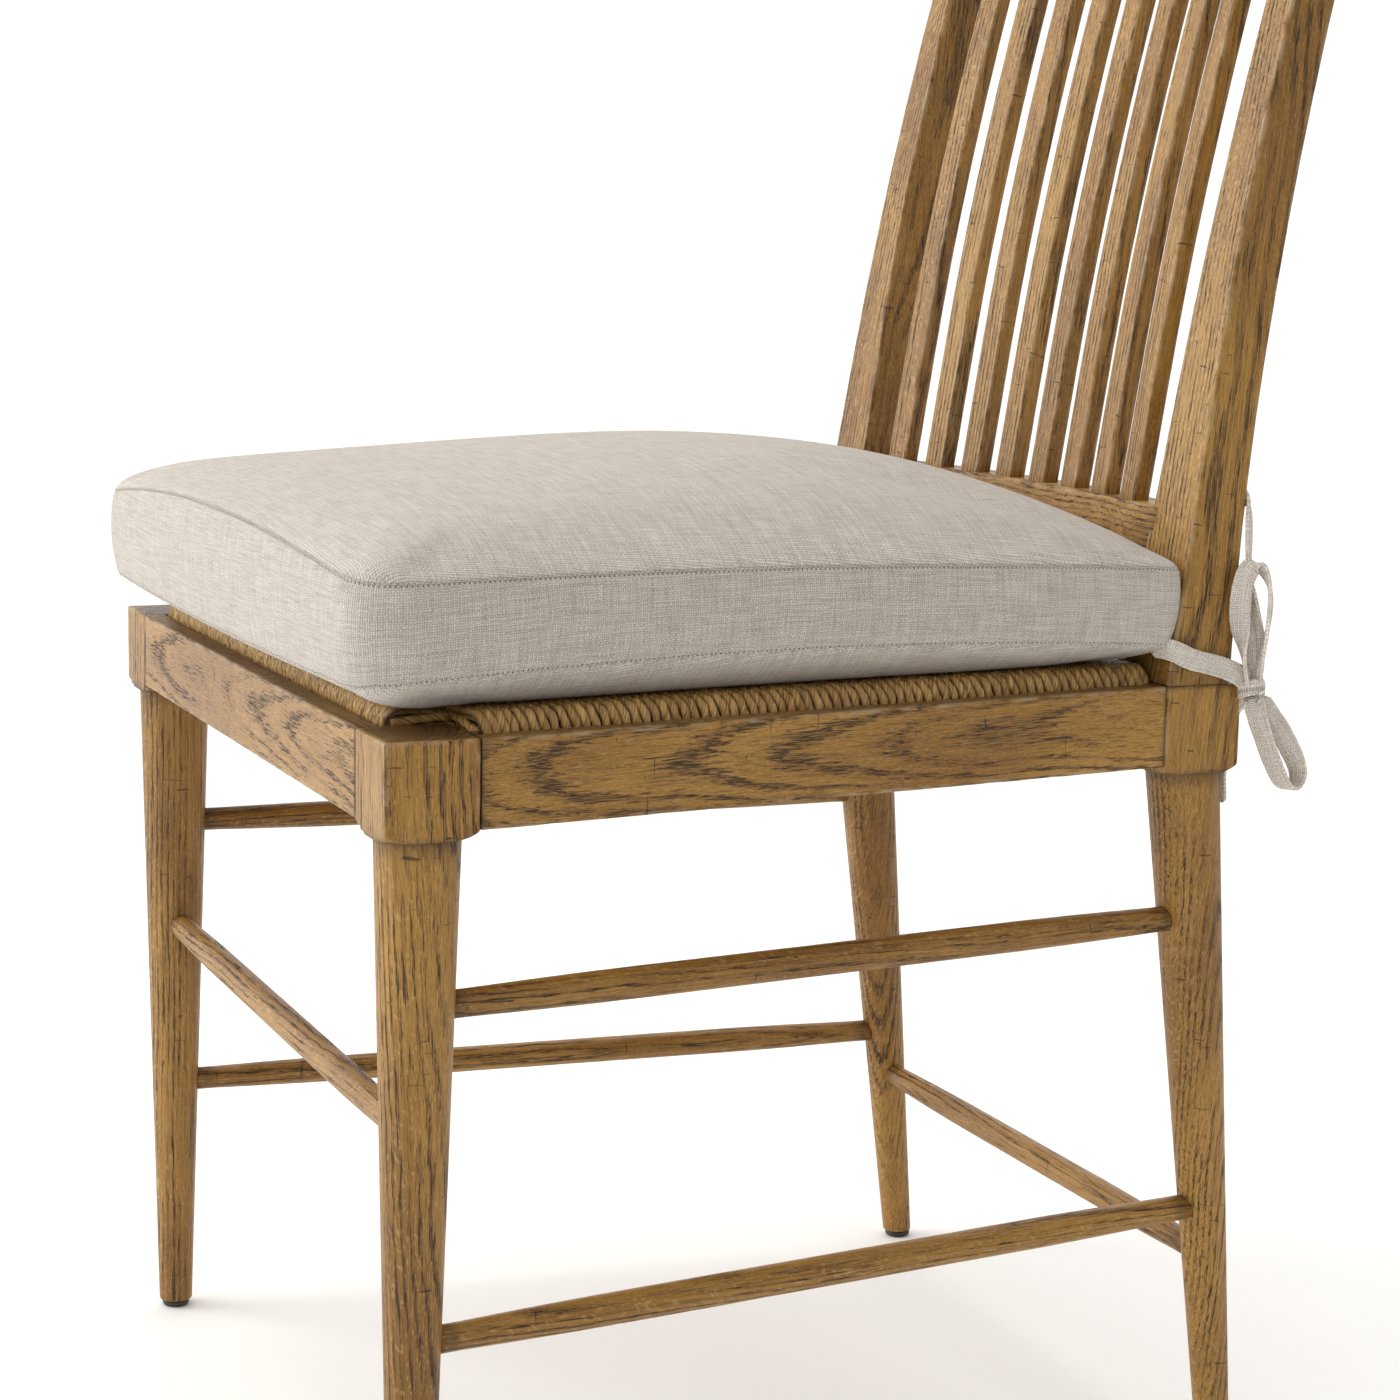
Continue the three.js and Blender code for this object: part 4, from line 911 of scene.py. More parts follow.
def stretcher(name, start, end, seed):
    start = np.array(start, float)
    end = np.array(end, float)
    length = np.linalg.norm(end - start)
    along = (end - start) / length
    across = unit(np.cross(along, (0, 0, 1.0)))
    up = np.cross(across, along)
    circle = round_points(STRETCHER_SIDES)
    spokes = circle[:, :1] * across + circle[:, 1:] * up
    stack = Stack()
    sunk = BLOCK / 4
    for s in np.linspace(sunk, length - sunk, int(length / 7)):
        from_end = min(s, length - s)
        part = np.clip((from_end - STRETCHER_SOCKET_RUN) / STRETCHER_SWELL_RUN, 0, 1)
        swell = (STRETCHER_RADIUS - STRETCHER_END_RADIUS) * math.sin(part * math.pi / 2)
        radius = STRETCHER_END_RADIUS + swell + ripple(s, seed) * 0.06
        stack.add(start + along * s - spokes * radius, 0.1, joint_shade(from_end - BLOCK * 0.4, 3) * 0.5)
    wood = timber((start + end) / 2, across, along, seed, 34, 8, seed, 0.02)
    stack.finish(name, OAK, wood, weighted=False)


def stretchers():
    """Each stretcher's height is read from its CAD node: a rod lies level, on its middle line."""

    def height(node):
        low, high = span(node)
        return (low[2] + high[2]) / 2

    for side, word in SIDES:
        for k, row in enumerate(("upper", "lower")):
            name = f"{row}_side_stretcher_{word}"
            z = height(name)
            front = (side * FRONT_LEG_X, front_leg_y(z), z)
            rear = (side * REAR_LEG_X, rear_leg_y(z), z)
            stretcher(name, front, rear, 31 + k + 4 * side)
    z = height("front_stretcher")
    stretcher("front_stretcher", (-FRONT_LEG_X, front_leg_y(z), z), (FRONT_LEG_X, front_leg_y(z), z), 45)
    z = height("back_stretcher")
    stretcher("back_stretcher", (-REAR_LEG_X, rear_leg_y(z), z), (REAR_LEG_X, rear_leg_y(z), z), 47)


# ---------------------------------------------------------------- back


def bowed_rail(name, low, high, arch, seed):
    """A bowed rail between the posts, leaning with them."""
    middle = (low + high - arch) / 2
    slope = BACK_LEAN + 2 * BACK_SWEEP * middle
    reach = REAR_LEG_X - post_width(middle) / 2 + 5
    stack = Stack()
    for x in np.linspace(-reach, reach, int(2 * reach / RAIL_STEP)):
        top = high - arch * (x / REAR_LEG_X) ** 2
        front = max(bow(x), 0.4 + 0.002 * (abs(x) - 140))
        nicks = ripple(x, seed) * 0.12
        corners = [(0, low), (BACK_RAIL_THICKNESS, low), (BACK_RAIL_THICKNESS, top), (0, top)]
        section = Outline(corners, [1.5 + nicks] * 4)
        depth, height = section.points.T
        offset = post_front(middle) + front + slope * (height - middle)
        ring = np.column_stack([np.full(len(offset), -x), depth + offset, height])
        shade = joint_shade(abs(x) - (reach - 5), 1.6)
        stack.add(ring, section.edges, shade)
    origin = (0, post_front(middle) + bow(0), middle)
    stack.finish(name, OAK, timber(origin, (0, 1, 0), (1, 0, 0), seed, 90, 30, 1.1, 0.02))


def spindle(index):
    x = (index - (SPINDLES - 1) / 2) * SPINDLE_PITCH
    angle = bow_angle(x)
    c = math.cos(angle)
    s = math.sin(angle)
    low = LOWER_RAIL_HIGH - SPINDLE_SINK
    high = CREST_LOW + SPINDLE_SINK
    stack = Stack()
    for z in np.linspace(low, high, int((high - low) / SHAFT_STEP)):
        section = rectangle(SPINDLE_WIDTH + ripple(z, index) * 0.2, SPINDLE_DEPTH, 1.6, flat=5)
        p = section.points + [0, SPINDLE_DEPTH / 2]
        turned = np.column_stack([p[:, 0] * c - p[:, 1] * s, p[:, 0] * s + p[:, 1] * c])
        shade = max(joint_shade(z - LOWER_RAIL_HIGH, 1.6), joint_shade(z - CREST_LOW, 1.6))
        y = post_front(z) + bow(x) + SPINDLE_SETBACK
        stack.add(level(turned, x, y, z), section.edges * 0.8, shade * 0.8)
    origin = (x, post_front(low) + bow(x), low)
    turn = Random(index).uniform(-0.35, 0.35)
    wood = timber(origin, (1, 0, 0), (0, 0.15, 1), 80 + index, 60, 10, turn, 0.012)
    stack.finish(f"back_spindle_{index + 1}", OAK, wood)


# ---------------------------------------------------------------- glides

GLIDE_SIDES = 32

def glide(name, x, y):
    """A turned nylon glide: a low dome under the foot."""
    circle = round_points(GLIDE_SIDES)
    profile = [(GLIDE_RADIUS - 2.2, 0), (GLIDE_RADIUS - 1, 0.25), (GLIDE_RADIUS - 0.3, 0.9)]
    top = FOOT - FLOOR
    profile += [(GLIDE_RADIUS, 1.8), (GLIDE_RADIUS, top - 0.8), (GLIDE_RADIUS - 0.6, top - 0.3)]
    points = np.vstack([level(circle * r, x, y, FLOOR + z) for r, z in profile])
    piece = build(name, points, tube_faces(len(profile), GLIDE_SIDES), GLIDE)
    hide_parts(name)


# ---------------------------------------------------------------- rush seat

CORD_PITCH = 5.2
CORD_RADIUS = 2.6
CORD_SIDES = 8
ROLL_RADIUS = 8.5
RUSH_INSET = LIP + SEAT_CLEARANCE
QUARTER_TURN = 1.5708
UP = np.array([0, 0, 1.0])


def cord_profile(run):
    """A cord's path round the seat's edge: distance in from the edge, and height, top to underside."""
    top = RUSH_HIGH - CORD_RADIUS
    low = RUSH_LOW + CORD_RADIUS
    roll = ROLL_RADIUS - CORD_RADIUS
    upper = [(1 - math.sin(a), math.cos(a) - 1) for a in np.linspace(0, QUARTER_TURN, 6)]
    lower = [(1 - math.cos(a), 1 - math.sin(a)) for a in np.linspace(0, QUARTER_TURN, 5)]
    upper = [(CORD_RADIUS + roll * x, top + roll * z) for x, z in upper]
    lower = [(CORD_RADIUS + roll * x, low + roll * z) for x, z in lower]
    far = max(run, ROLL_RADIUS + 2)
    near = max(far - 3, ROLL_RADIUS + 1)
    dive = [(far, top - 3.2), (near, top - 0.6)]
    rise = [(near, low + 0.6), (far, low + 3.2)]
    return np.array(dive + upper + lower + rise)


class Cords:
    """All the cords of one panel, gathered into one mesh."""

    def __init__(self, seed):
        self.random = Random(seed)
        self.points = []
        self.faces = []
        self.strand = []
        self.grime_and_painted_shade = []
        self.count = 0

    def add(self, edge, inward, along, run, squeeze=0.0):
        """One cord at `edge`, a point of the seat's edge, reaching `run` inward."""
        profile = even(cord_profile(run), 2.7)
        thickness = CORD_RADIUS * self.random.uniform(0.93, 1.05)
        lean = np.clip((RUSH_HIGH - profile[:, 1]) / 12, 0, 1) * CORD_PITCH * 0.55
        lean += squeeze * np.exp(-profile[:, 0] / 14) + self.random.uniform(-0.25, 0.25)
        path = edge + profile[:, :1] * inward + lean[:, None] * along
        path[:, 2] = profile[:, 1]
        self.tube(path, along, thickness)

    def tube(self, path, along, thickness):
        """A two-ply twisted cord along a path; `along` is roughly square to it."""
        tangent = unit(np.gradient(path, axis=0))
        normal = unit(np.cross(tangent, along))
        side = np.cross(normal, tangent)
        s = distances(path)
        angle = np.arange(CORD_SIDES) / CORD_SIDES * 2 * math.pi
        phase = self.random.uniform(0, 6.28)
        twist = angle[None, :] - s[:, None] / CORD_LAY * 2 * math.pi + phase
        radius = thickness * (1 + 0.14 * np.cos(2 * twist))
        circle = round_points(CORD_SIDES)
        rim = circle[None, :, :1] * side[:, None] + circle[None, :, 1:] * normal[:, None]
        tube = path[:, None] + rim * radius[:, :, None]
        self.points.append(tube.reshape(-1, 3))
        self.faces += tube_faces(len(path), CORD_SIDES, self.count)
        self.count += len(path) * CORD_SIDES
        strand = np.zeros(rim.shape)
        strand[:, :, 0] = np.abs(angle - math.pi)
        strand[:, :, 1] = s[:, None] / MM
        strand[:, :, 2] = self.random.random()
        self.strand.append(strand.reshape(-1, 3))
        # painted shade mask: 1 on the sides of the cord that face its neighbours, where shade falls
        gap_shade = np.clip(np.abs(rim @ along) * 3 - 2, 0, 1) ** 1.3
        self.grime_and_painted_shade.append(gap_shade.ravel())

    def finish(self, name, replaces=True):
        layers = {"strand": np.vstack(self.strand), "grime_and_painted_shade": np.concatenate(self.grime_and_painted_shade)}
        piece = build(name, np.vstack(self.points), self.faces, RUSH, layers)
        if replaces:
            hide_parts(name)


def cord_places(low, high):
    """Evenly spread places between the leg blocks."""
    count = int((high - low) / CORD_PITCH)
    return [low + (high - low) * (i + 0.5) / count for i in range(count)]


def rush_cross(name, edge_y, half, seat_half, seed):
    """The panel whose cords go round the front or the back rail."""
    inward = np.array([0, -math.copysign(1, edge_y), 0.0])
    cords = Cords(seed)
    for x in cord_places(-half, half):
        run = abs(edge_y) * (1 - abs(x) / seat_half)
        cords.add(np.array([x, edge_y, 0.0]), inward, np.array([-inward[1], 0, 0.0]), run)
    cords.finish(name)


def rush_side(name, side, front_half, back_half, front_y, back_y, seed):
    """The panel whose cords go round a side rail."""
    cords = Cords(seed)
    along = np.array([-side * SIDE_TAPER, 1.0, 0]) / SIDE_SCALE
    inward = np.array([-side, -SIDE_TAPER, 0.0]) / SIDE_SCALE
    low = FRONT_INNER_Y + SEAT_CLEARANCE
    high = BACK_INNER_Y - SEAT_CLEARANCE
    for y in cord_places(low, high):
        x = side_x(y) - RUSH_INSET * SIDE_SCALE
        reach = x - (front_half * y / front_y if y < 0 else back_half * y / back_y)
        near = math.exp(-(y - low) / 9) * 3.5 - math.exp(-(high - y) / 9) * 3.5
        cords.add(np.array([side * x, y, 0.0]), inward, along, reach, near)
    cords.finish(name)


def corner_cords(name, side, way, face, inner_y, inner_x):
    """Cords folded round the inside of a leg block, between the ends of the two rolls."""
    cords = Cords(70 + side + 3 * way)
    gap = SEAT_CLEARANCE + CORD_RADIUS
    edge_y = face + way * (RUSH_INSET + ROLL_RADIUS * 0.5)
    edge_x = side_x(inner_y) - (RUSH_INSET + ROLL_RADIUS * 0.5) * SIDE_SCALE
    heights = np.arange(RUSH_LOW + CORD_RADIUS, RUSH_HIGH - CORD_RADIUS, CORD_PITCH * 0.92)
    for i, z in enumerate(heights):
        back = gap + 0.25 * (i % 2)
        corner_x = inner_x - back
        corner_y = inner_y + way * back
        line = [
            (corner_x + 0.4, edge_y, z - 1.5),
            (corner_x, (edge_y + corner_y) / 2, z),
            (corner_x, corner_y - way * 4, z + 0.6),
            (corner_x + 3.5, corner_y, z + 0.6),
            ((corner_x + edge_x) / 2, corner_y, z),
            (edge_x, corner_y - way * 0.4, z - 1.5),
        ]
        path = even(spline(np.array(line) * [side, 1, 1], 6), 3.0)
        cords.tube(path, UP, CORD_RADIUS * cords.random.uniform(0.85, 0.95))
    cords.finish(name, replaces=False)


def rush_seat():
    front_y = FRONT_FACE + RUSH_INSET
    back_y = BACK_FACE - RUSH_INSET
    front_half = side_x(front_y) - RUSH_INSET * SIDE_SCALE
    back_half = side_x(back_y) - RUSH_INSET * SIDE_SCALE
    rush_cross("rush_front", front_y, FRONT_INNER_X - SEAT_CLEARANCE, front_half, 3)
    rush_cross("rush_back", back_y, BACK_INNER_X - SEAT_CLEARANCE, back_half, 4)
    rush_side("rush_left", 1, front_half, back_half, front_y, back_y, 5)
    rush_side("rush_right", -1, front_half, back_half, front_y, back_y, 6)
    for side, word in SIDES:
        corner_cords(f"rush_corner_front_{word}", side, 1, FRONT_FACE, FRONT_INNER_Y, FRONT_INNER_X)
        corner_cords(f"rush_corner_rear_{word}", side, -1, BACK_FACE, BACK_INNER_Y, BACK_INNER_X)


# ---------------------------------------------------------------- cushion

CUSHION_FRONT = FRONT_FACE - 12
CUSHION_FRONT_HALF = side_x(CUSHION_FRONT) - 5.5
CUSHION_BACK = post_front(55) - 1.5
CUSHION_BACK_HALF = side_x(CUSHION_BACK) + 2
CUSHION_FRONT_RADIUS = 26
CUSHION_BACK_RADIUS = 8
CUSHION_FRONT_BULGE = 5
CUSHION_WAIST = 1.5  # how far the seams pull in between the corners
CUSHION_CROWN = 24
CUSHION_SHOULDER = 15
CUSHION_SHOULDER_RUN = 12
CUSHION_UNDER_RUN = 13
CUSHION_GRID = 6  # size of the cloth's mesh before it is subdivided
CUSHION_REST = RUSH_HIGH + 0.6
BAND_SEGMENTS = 8
CLOTH_CAP = 7  # how far the cloth simulation may move a point
BAND_BULGE = 3.2  # how far the band stands out in the middle of its height
SEAM_DEPTH = 0.8
STITCH_RADIUS = 0.4


def cushion_plan(counts):
    """The four sides of the plan, each from one corner's middle to the next, as lists of points."""
    corners = [
        np.array([-CUSHION_FRONT_HALF, CUSHION_FRONT]),
        np.array([CUSHION_FRONT_HALF, CUSHION_FRONT]),
        np.array([CUSHION_BACK_HALF, CUSHION_BACK]),
        np.array([-CUSHION_BACK_HALF, CUSHION_BACK]),
    ]
    radii = [CUSHION_FRONT_RADIUS, CUSHION_FRONT_RADIUS, CUSHION_BACK_RADIUS, CUSHION_BACK_RADIUS]
    halves = []
    for i, radius in enumerate(radii):
        _, _, start, end, middle = rounded_corner(corners, i, radius)
        spokes = [(start - middle) * (1 - t) + (end - middle) * t for t in np.linspace(0, 1, 13)]
        halves.append(middle + unit(np.array(spokes)) * radius)
    sides = []
    for i in range(4):
        line = np.vstack([halves[i][6:], halves[(i + 1) % 4][:7]])
        sides.append(even(line, distances(line)[-1] / counts[i])[: counts[i] + 1])
    return sides


def seam_heights(side, t):
    """Heights of the bottom and top seams along a side, t from -1 to 1 between its corners."""
    bulge = 1 - t * t
    if side == 0:
        return 22 - 1.5 * bulge, 70 + 15 * bulge
    if side == 2:
        return 21 + 2 * bulge, 61 + 6 * bulge
    forward = -t if side == 1 else t
    bottom = 21.5 + 1.5 * forward + 8 * bulge
    top = 65.5 + 4.5 * forward + 4.5 * bulge
    return bottom, top


def ring_closed(loop):
    return np.vstack([loop, loop[:1]])


def cushion_loops(counts):
    """The bottom and top seams as closed loops of points, side by side, with their plan normals."""
    bottom = []
    top = []
    for i, line in enumerate(cushion_plan(counts)):
        n = counts[i]
        t = np.linspace(-1, 1, n + 1)[:-1]
        tangent = unit(np.gradient(line, axis=0)[:-1])
        outward = np.column_stack([tangent[:, 1], -tangent[:, 0]])
        push = (CUSHION_FRONT_BULGE if i == 0 else -CUSHION_WAIST) * (1 - t**2)
        plan = line[:-1] + outward * push[:, None]
        low, high = seam_heights(i, t)
        bottom.append(np.column_stack([plan - outward * (4.0 if i == 2 else 2.0), low]))
        top.append(np.column_stack([plan, high]))
    return np.vstack(bottom), np.vstack(top)


def panel(loop, counts, swelling):
    """A panel filling a seam loop, as a grid of points. Its rim is the loop itself.

    swelling(z, middle, edge) gives each point's rise: middle is 1 at the centre and 0 at the rim,
    and edge is how far the point lies from the rim.
    """
    nu, nv = counts[:2]
    starts = np.cumsum([0, *counts])
    closed = ring_closed(loop)
    front = closed[starts[0]:starts[1] + 1]
    right = closed[starts[1]:starts[2] + 1]
    back = closed[starts[2]:starts[3] + 1][::-1]
    left = closed[starts[3]:starts[4] + 1][::-1]
    u = (np.arange(nu + 1) / nu)[:, None, None]
    v = (np.arange(nv + 1) / nv)[None, :, None]
    grid = front[:, None] * (1 - v) + back[:, None] * v + left[None] * (1 - u) + right[None] * u
    grid -= (1 - u) * (1 - v) * front[0] + u * (1 - v) * front[-1] + (1 - u) * v * back[0] + u * v * back[-1]
    middle = ((1 - np.abs(2 * u - 1) ** 2.4) * (1 - np.abs(2 * v ** 1.7 - 1) ** 2.6))[:, :, 0]
    across = np.minimum(u, 1 - u)[:, :, 0] * nu * CUSHION_GRID
    deep = np.minimum(v, 1 - v)[:, :, 0] * nv * CUSHION_GRID
    edge = across * deep / np.sqrt(across**2 + deep**2 + 1e-9)
    grid[:, :, 2] += swelling(grid[:, :, 2], middle, edge)
    return grid


def top_swelling(z, middle, edge):
    """The top is crowned, and rises from the seam, more steeply where the seam is low."""
    shoulder = (CUSHION_SHOULDER - 0.4 * (z - 66)) * (1 - np.exp(-edge / CUSHION_SHOULDER_RUN))
    return (CUSHION_CROWN - 0.35 * (z - 70)) * middle + shoulder


def bottom_swelling(z, middle, edge):
    """The underside drops from the seam to the rush and lies flat on it."""
    return (CUSHION_REST - 1.0 - z) * (1 - np.exp(-edge / CUSHION_UNDER_RUN))


class CushionMesh:
    """The cushion's cloth: two panels and a band, sewn at shared loops, with flat cloth coordinates."""

    def __init__(self):
        width = 2 * CUSHION_FRONT_HALF
        depth = CUSHION_BACK - CUSHION_FRONT
        nu = int(width / CUSHION_GRID)
        nv = int(depth / CUSHION_GRID)
        self.counts = [nu, nv, nu, nv]
        self.bottom_loop, self.top_loop = cushion_loops(self.counts)
        self.around = len(self.top_loop)
        self.points = []
        self.faces = []
        self.weave = []
        self.seam = []
        self.run = distances(ring_closed(self.top_loop))
        self.add_band()
        top = panel(self.top_loop, self.counts, top_swelling)
        low = panel(self.bottom_loop, self.counts, bottom_swelling)
        self.add_panel(top, BAND_SEGMENTS * self.around, 1)
        self.add_panel(low, 0, -1)
        self.points = np.array(self.points)

    def add_band(self):
        n = self.around
        tangent = np.roll(self.top_loop, -1, axis=0) - np.roll(self.top_loop, 1, axis=0)
        outward = unit(np.column_stack([tangent[:, 1], -tangent[:, 0], np.zeros(n)]))
        for t in np.arange(BAND_SEGMENTS + 1) / BAND_SEGMENTS:
            row = self.bottom_loop * (1 - t) + self.top_loop * t + outward * BAND_BULGE * 4 * t * (1 - t)
            self.points += row.tolist()
        for k in range(BAND_SEGMENTS):
            for i in range(n):
                j = (i + 1) % n
                self.faces.append((k * n + i, k * n + j, k * n + j + n, k * n + i + n))
                height = (self.top_loop[i, 2] - self.bottom_loop[i, 2]) / BAND_SEGMENTS
                for run, row in ((i, k), (i + 1, k), (i + 1, k + 1), (i, k + 1)):
                    self.weave.append((self.run[run] / MM, row * height / MM))
                    self.seam.append((self.run[run] / MM, (row - BAND_SEGMENTS) * height / MM))

    def add_panel(self, grid, rim_start, sign):
        """Adds a panel, facing up or down by its sign, whose rim points are the loop already in place."""
        nu, nv = self.counts[:2]
        rim = [(i, 0) for i in range(nu)] + [(nu, j) for j in range(nv)]
        rim += [(nu - i, nv) for i in range(nu)] + [(0, nv - j) for j in range(nv)]
        index = np.zeros((nu + 1, nv + 1), int)
        for k, place in enumerate(rim):
            index[place] = rim_start + k
        for i in range(1, nu):
            for j in range(1, nv):
                index[i, j] = len(self.points)
                self.points.append(grid[i, j].tolist())
        for i in range(nu):
            for j in range(nv):
                corners = [(i, j), (i + 1, j), (i + 1, j + 1), (i, j + 1)]
                if sign < 0:
                    corners.reverse()
                self.faces.append(tuple(int(index[c]) for c in corners))
                for c in corners:
                    p = grid[c]
                    self.weave.append((p[0] / MM, p[1] / MM))
                    inside = min(c[0], nu - c[0], c[1], nv - c[1]) * CUSHION_GRID
                    self.seam.append((0.0, sign * inside / MM))


def settle(piece, held, weight, cap):
    """Lets air pressure fill the cloth, and keeps every point within `cap` of where it was."""
    start = read(piece.data.vertices, "co", 3)
    group = piece.vertex_groups.new(name="seams")
    group.add(held, weight, "REPLACE")
    cloth = piece.modifiers.new("cloth", "CLOTH")
    cloth.settings.quality = 5
    cloth.settings.mass = 0.3
    cloth.settings.tension_stiffness = 15
    cloth.settings.compression_stiffness = 15
    cloth.settings.bending_stiffness = 0.6
    cloth.settings.use_pressure = True
    cloth.settings.uniform_pressure_force = 4
    cloth.settings.vertex_group_mass = "seams"
    cloth.settings.pin_stiffness = 4
    cloth.settings.effector_weights.gravity = 0
    cloth.collision_settings.use_collision = False
    scene = bpy.context.scene
    for step in range(1, 21):
        scene.frame_set(step)
    graph = bpy.context.evaluated_depsgraph_get()
    moved = read(piece.evaluated_get(graph).to_mesh().vertices, "co", 3)
    piece.evaluated_get(graph).to_mesh_clear()
    piece.modifiers.remove(cloth)
    piece.vertex_groups.remove(group)
    scene.frame_set(1)
    shift = moved - start
    cap = cap / MM
    reach = np.linalg.norm(shift, axis=1)
    scale = np.where(reach > 1e-9, np.tanh(reach / cap) * cap / np.maximum(reach, 1e-9), 0)
    piece.data.vertices.foreach_set("co", (start + shift * scale[:, None]).ravel())
    piece.data.update()


def subdivide(piece):
    """Subdivides a piece once and keeps the result in its mesh."""
    modifier = piece.modifiers.new("finer", "SUBSURF")
    modifier.levels = 1
    modifier.render_levels = 1
    graph = bpy.context.evaluated_depsgraph_get()
    finer = bpy.data.meshes.new_from_object(piece.evaluated_get(graph), depsgraph=graph)
    piece.modifiers.remove(modifier)
    piece.data = finer


def cushion():
    cloth = CushionMesh()
    uvs = {"weave": cloth.weave, "seam": cloth.seam}
    piece = build("seat_cushion", cloth.points, cloth.faces, LINEN, None, uvs)
    n = cloth.around
    rims = [*range(n), *range(BAND_SEGMENTS * n, (BAND_SEGMENTS + 1) * n)]
    settle(piece, rims, 0.9, CLOTH_CAP)
    crease_seams(piece, n)
    subdivide(piece)
    finish_cushion(piece, n)
    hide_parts("cushion_cover", "cushion_core", "cushion_zip")


def crease_seams(piece, around):
    """Marks the seam loops so that subdivision keeps them as firm folds."""
    layer = piece.data.attributes.new("crease_edge", "FLOAT", "EDGE")
    pairs = read(piece.data.edges, "vertices", 2, np.int64)
    low = (pairs < around).all(axis=1)
    top = ((pairs >= BAND_SEGMENTS * around) & (pairs < (BAND_SEGMENTS + 1) * around)).all(axis=1)
    layer.data.foreach_set("value", np.where(low, 0.35, np.where(top, 0.75, 0.0)).astype(np.float32))


def point_uv(mesh, name):
    """A UV map's values at points, the mean over each point's corners."""
    uv = read(mesh.uv_layers[name].data, "uv", 2)
    at = read(mesh.loops, "vertex_index", 1, np.int64).ravel()
    total = np.zeros((len(mesh.vertices), 2))
    number = np.zeros(len(mesh.vertices))
    np.add.at(total, at, uv)
    np.add.at(number, at, 1)
    return total / number[:, None]


def finish_cushion(piece, around):
    """Presses the seams in, rests the underside on the rush, and sews the stitches."""
    mesh = piece.data
    co = read(mesh.vertices, "co", 3)
    normals = read(mesh.vertices, "normal", 3)
    depth = point_uv(mesh, "seam")[:, 1] * MM
    top = np.exp(-((depth / 1.2) ** 2))
    top[BAND_SEGMENTS * around:(BAND_SEGMENTS + 1) * around] = 1
    low = np.zeros(len(co))
    low[:around] = 1
    co -= normals * (SEAM_DEPTH * (top + low) / MM)[:, None]
    co[:, 2] = np.maximum(co[:, 2], (CUSHION_REST + DATUM[2]) / MM)
    local = co * MM - DATUM
    by_post = np.abs(local[:, 0]) > REAR_LEG_X - BLOCK / 2 - 3
    face = np.array([post_front(z) for z in local[:, 2]]) - 0.5
    pressed = by_post & (local[:, 1] > face)
    co[pressed, 1] = (face[pressed] + DATUM[1]) / MM
    mesh.vertices.foreach_set("co", co.ravel())
    # a seam mask; the linen paints shade in the seams from it and dips its bump there
    fold = mesh.attributes.new("fold", "FLOAT", "POINT")
    fold.data.foreach_set("value", np.maximum(top, low).astype(np.float32))
    mesh.update()
    for word, start in (("bottom", 0), ("top", BAND_SEGMENTS * around)):
        loop = slice(start, start + around)
        stitches(f"cushion_stitches_{word}", co[loop] * MM - DATUM, normals[loop])


def stitches(name, loop, normals):
    """A row of short raised stitches along a seam."""
    line = even(ring_closed(np.hstack([loop, normals])), STITCH)
    points = []
    faces = []
    random = Random(name)
    for a, b in zip(line[:-1], line[1:]):
        along = b[:3] - a[:3]
        length = np.linalg.norm(along)
        along /= length
        out = unit(a[3:])
        across = np.cross(out, along)
        across += along * random.uniform(-0.2, 0.2)
        middle = (a[:3] + b[:3]) / 2 + out * 0.12
        first = len(points)
        for t, size in ((-0.36, 0.45), (-0.2, 1.0), (0.2, 1.0), (0.36, 0.45)):
            for x, z in ((1, 0), (0.5, 0.8), (-0.5, 0.8), (-1, 0), (0, -0.8)):
                points.append(middle + along * t * length + (across * x + out * z) * size * STITCH_RADIUS)
        faces += tube_faces(4, 5, first)
    piece = build(name, np.array(points), faces, THREAD_LINEN)


# ---------------------------------------------------------------- ties

STRAP_WIDTH = 11
STRAP_THICKNESS = 2.2
STRAP_END = 0.7  # how much smaller the section is at a strap's ends
KNOT_RINGS = 26
KNOT_SIDES = 12
KNOT = np.array([214.5, 241.5, -3.5])  # middle of the knot behind the left rear block


def skin(name, rings, side, along, across):
    """A closed linen skin over rings of points, with its cloth laid out by ring and by side."""
    count, sides, _ = rings.shape
    faces = tube_faces(count, sides)
    if side < 0:
        faces = [face[::-1] for face in faces]
    ring, k = np.divmod(np.concatenate(faces), sides)
    weave = np.column_stack([along[ring], across[k]]) / MM
    return build(name, rings.reshape(-1, 3), faces, TIE_LINEN_LIT, None, {"weave": weave})


def strap_section():
    """Across a strap: flat, with a thicker hem and a sunk seam along both of its sides."""
    w = STRAP_WIDTH / 2
    t = STRAP_THICKNESS / 2
    half = [(0, 0), (0.35, 0.75), (1.2, 1), (1.9, 0.72), (2.6, 1)]
    lower = [(x - w, -t * y) for x, y in half] + [(0, -t * 1.05)]
    lower += [(w - x, -t * y) for x, y in reversed(half)]
    return np.array(lower + [(x, -y) for x, y in lower[-2:0:-1]])


def strap(name, route, replaced, side):
    """A flat sewn strap. Each place of the route is a point and the direction of the strap's width."""
    places = np.array([p for p, _ in route], float)
    widths = unit(np.array([w for _, w in route], float))
    line = even(np.hstack([spline(places, 8), spline(widths, 8)]), 2.0)
    path = line[:, :3] * [side, 1, 1]
    width = line[:, 3:] * [side, 1, 1]
    tangent = unit(np.gradient(path, axis=0))
    width = unit(width - tangent * (width * tangent).sum(axis=1)[:, None])
    normal = np.cross(tangent, width)
    section = strap_section()
    s = distances(path)
    pinch = 1 + 0.03 * ripple(s, len(name) * 7)
    rings = path[:, None] + section[None, :, :1] * pinch[:, None, None] * width[:, None]
    rings = rings + section[None, :, 1:] * normal[:, None]
    for end in (0, -1):
        rings[end] = path[end] + (rings[end] - path[end]) * STRAP_END
    piece = skin(name, rings, side, s, section[:, 0])
    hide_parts(*replaced)


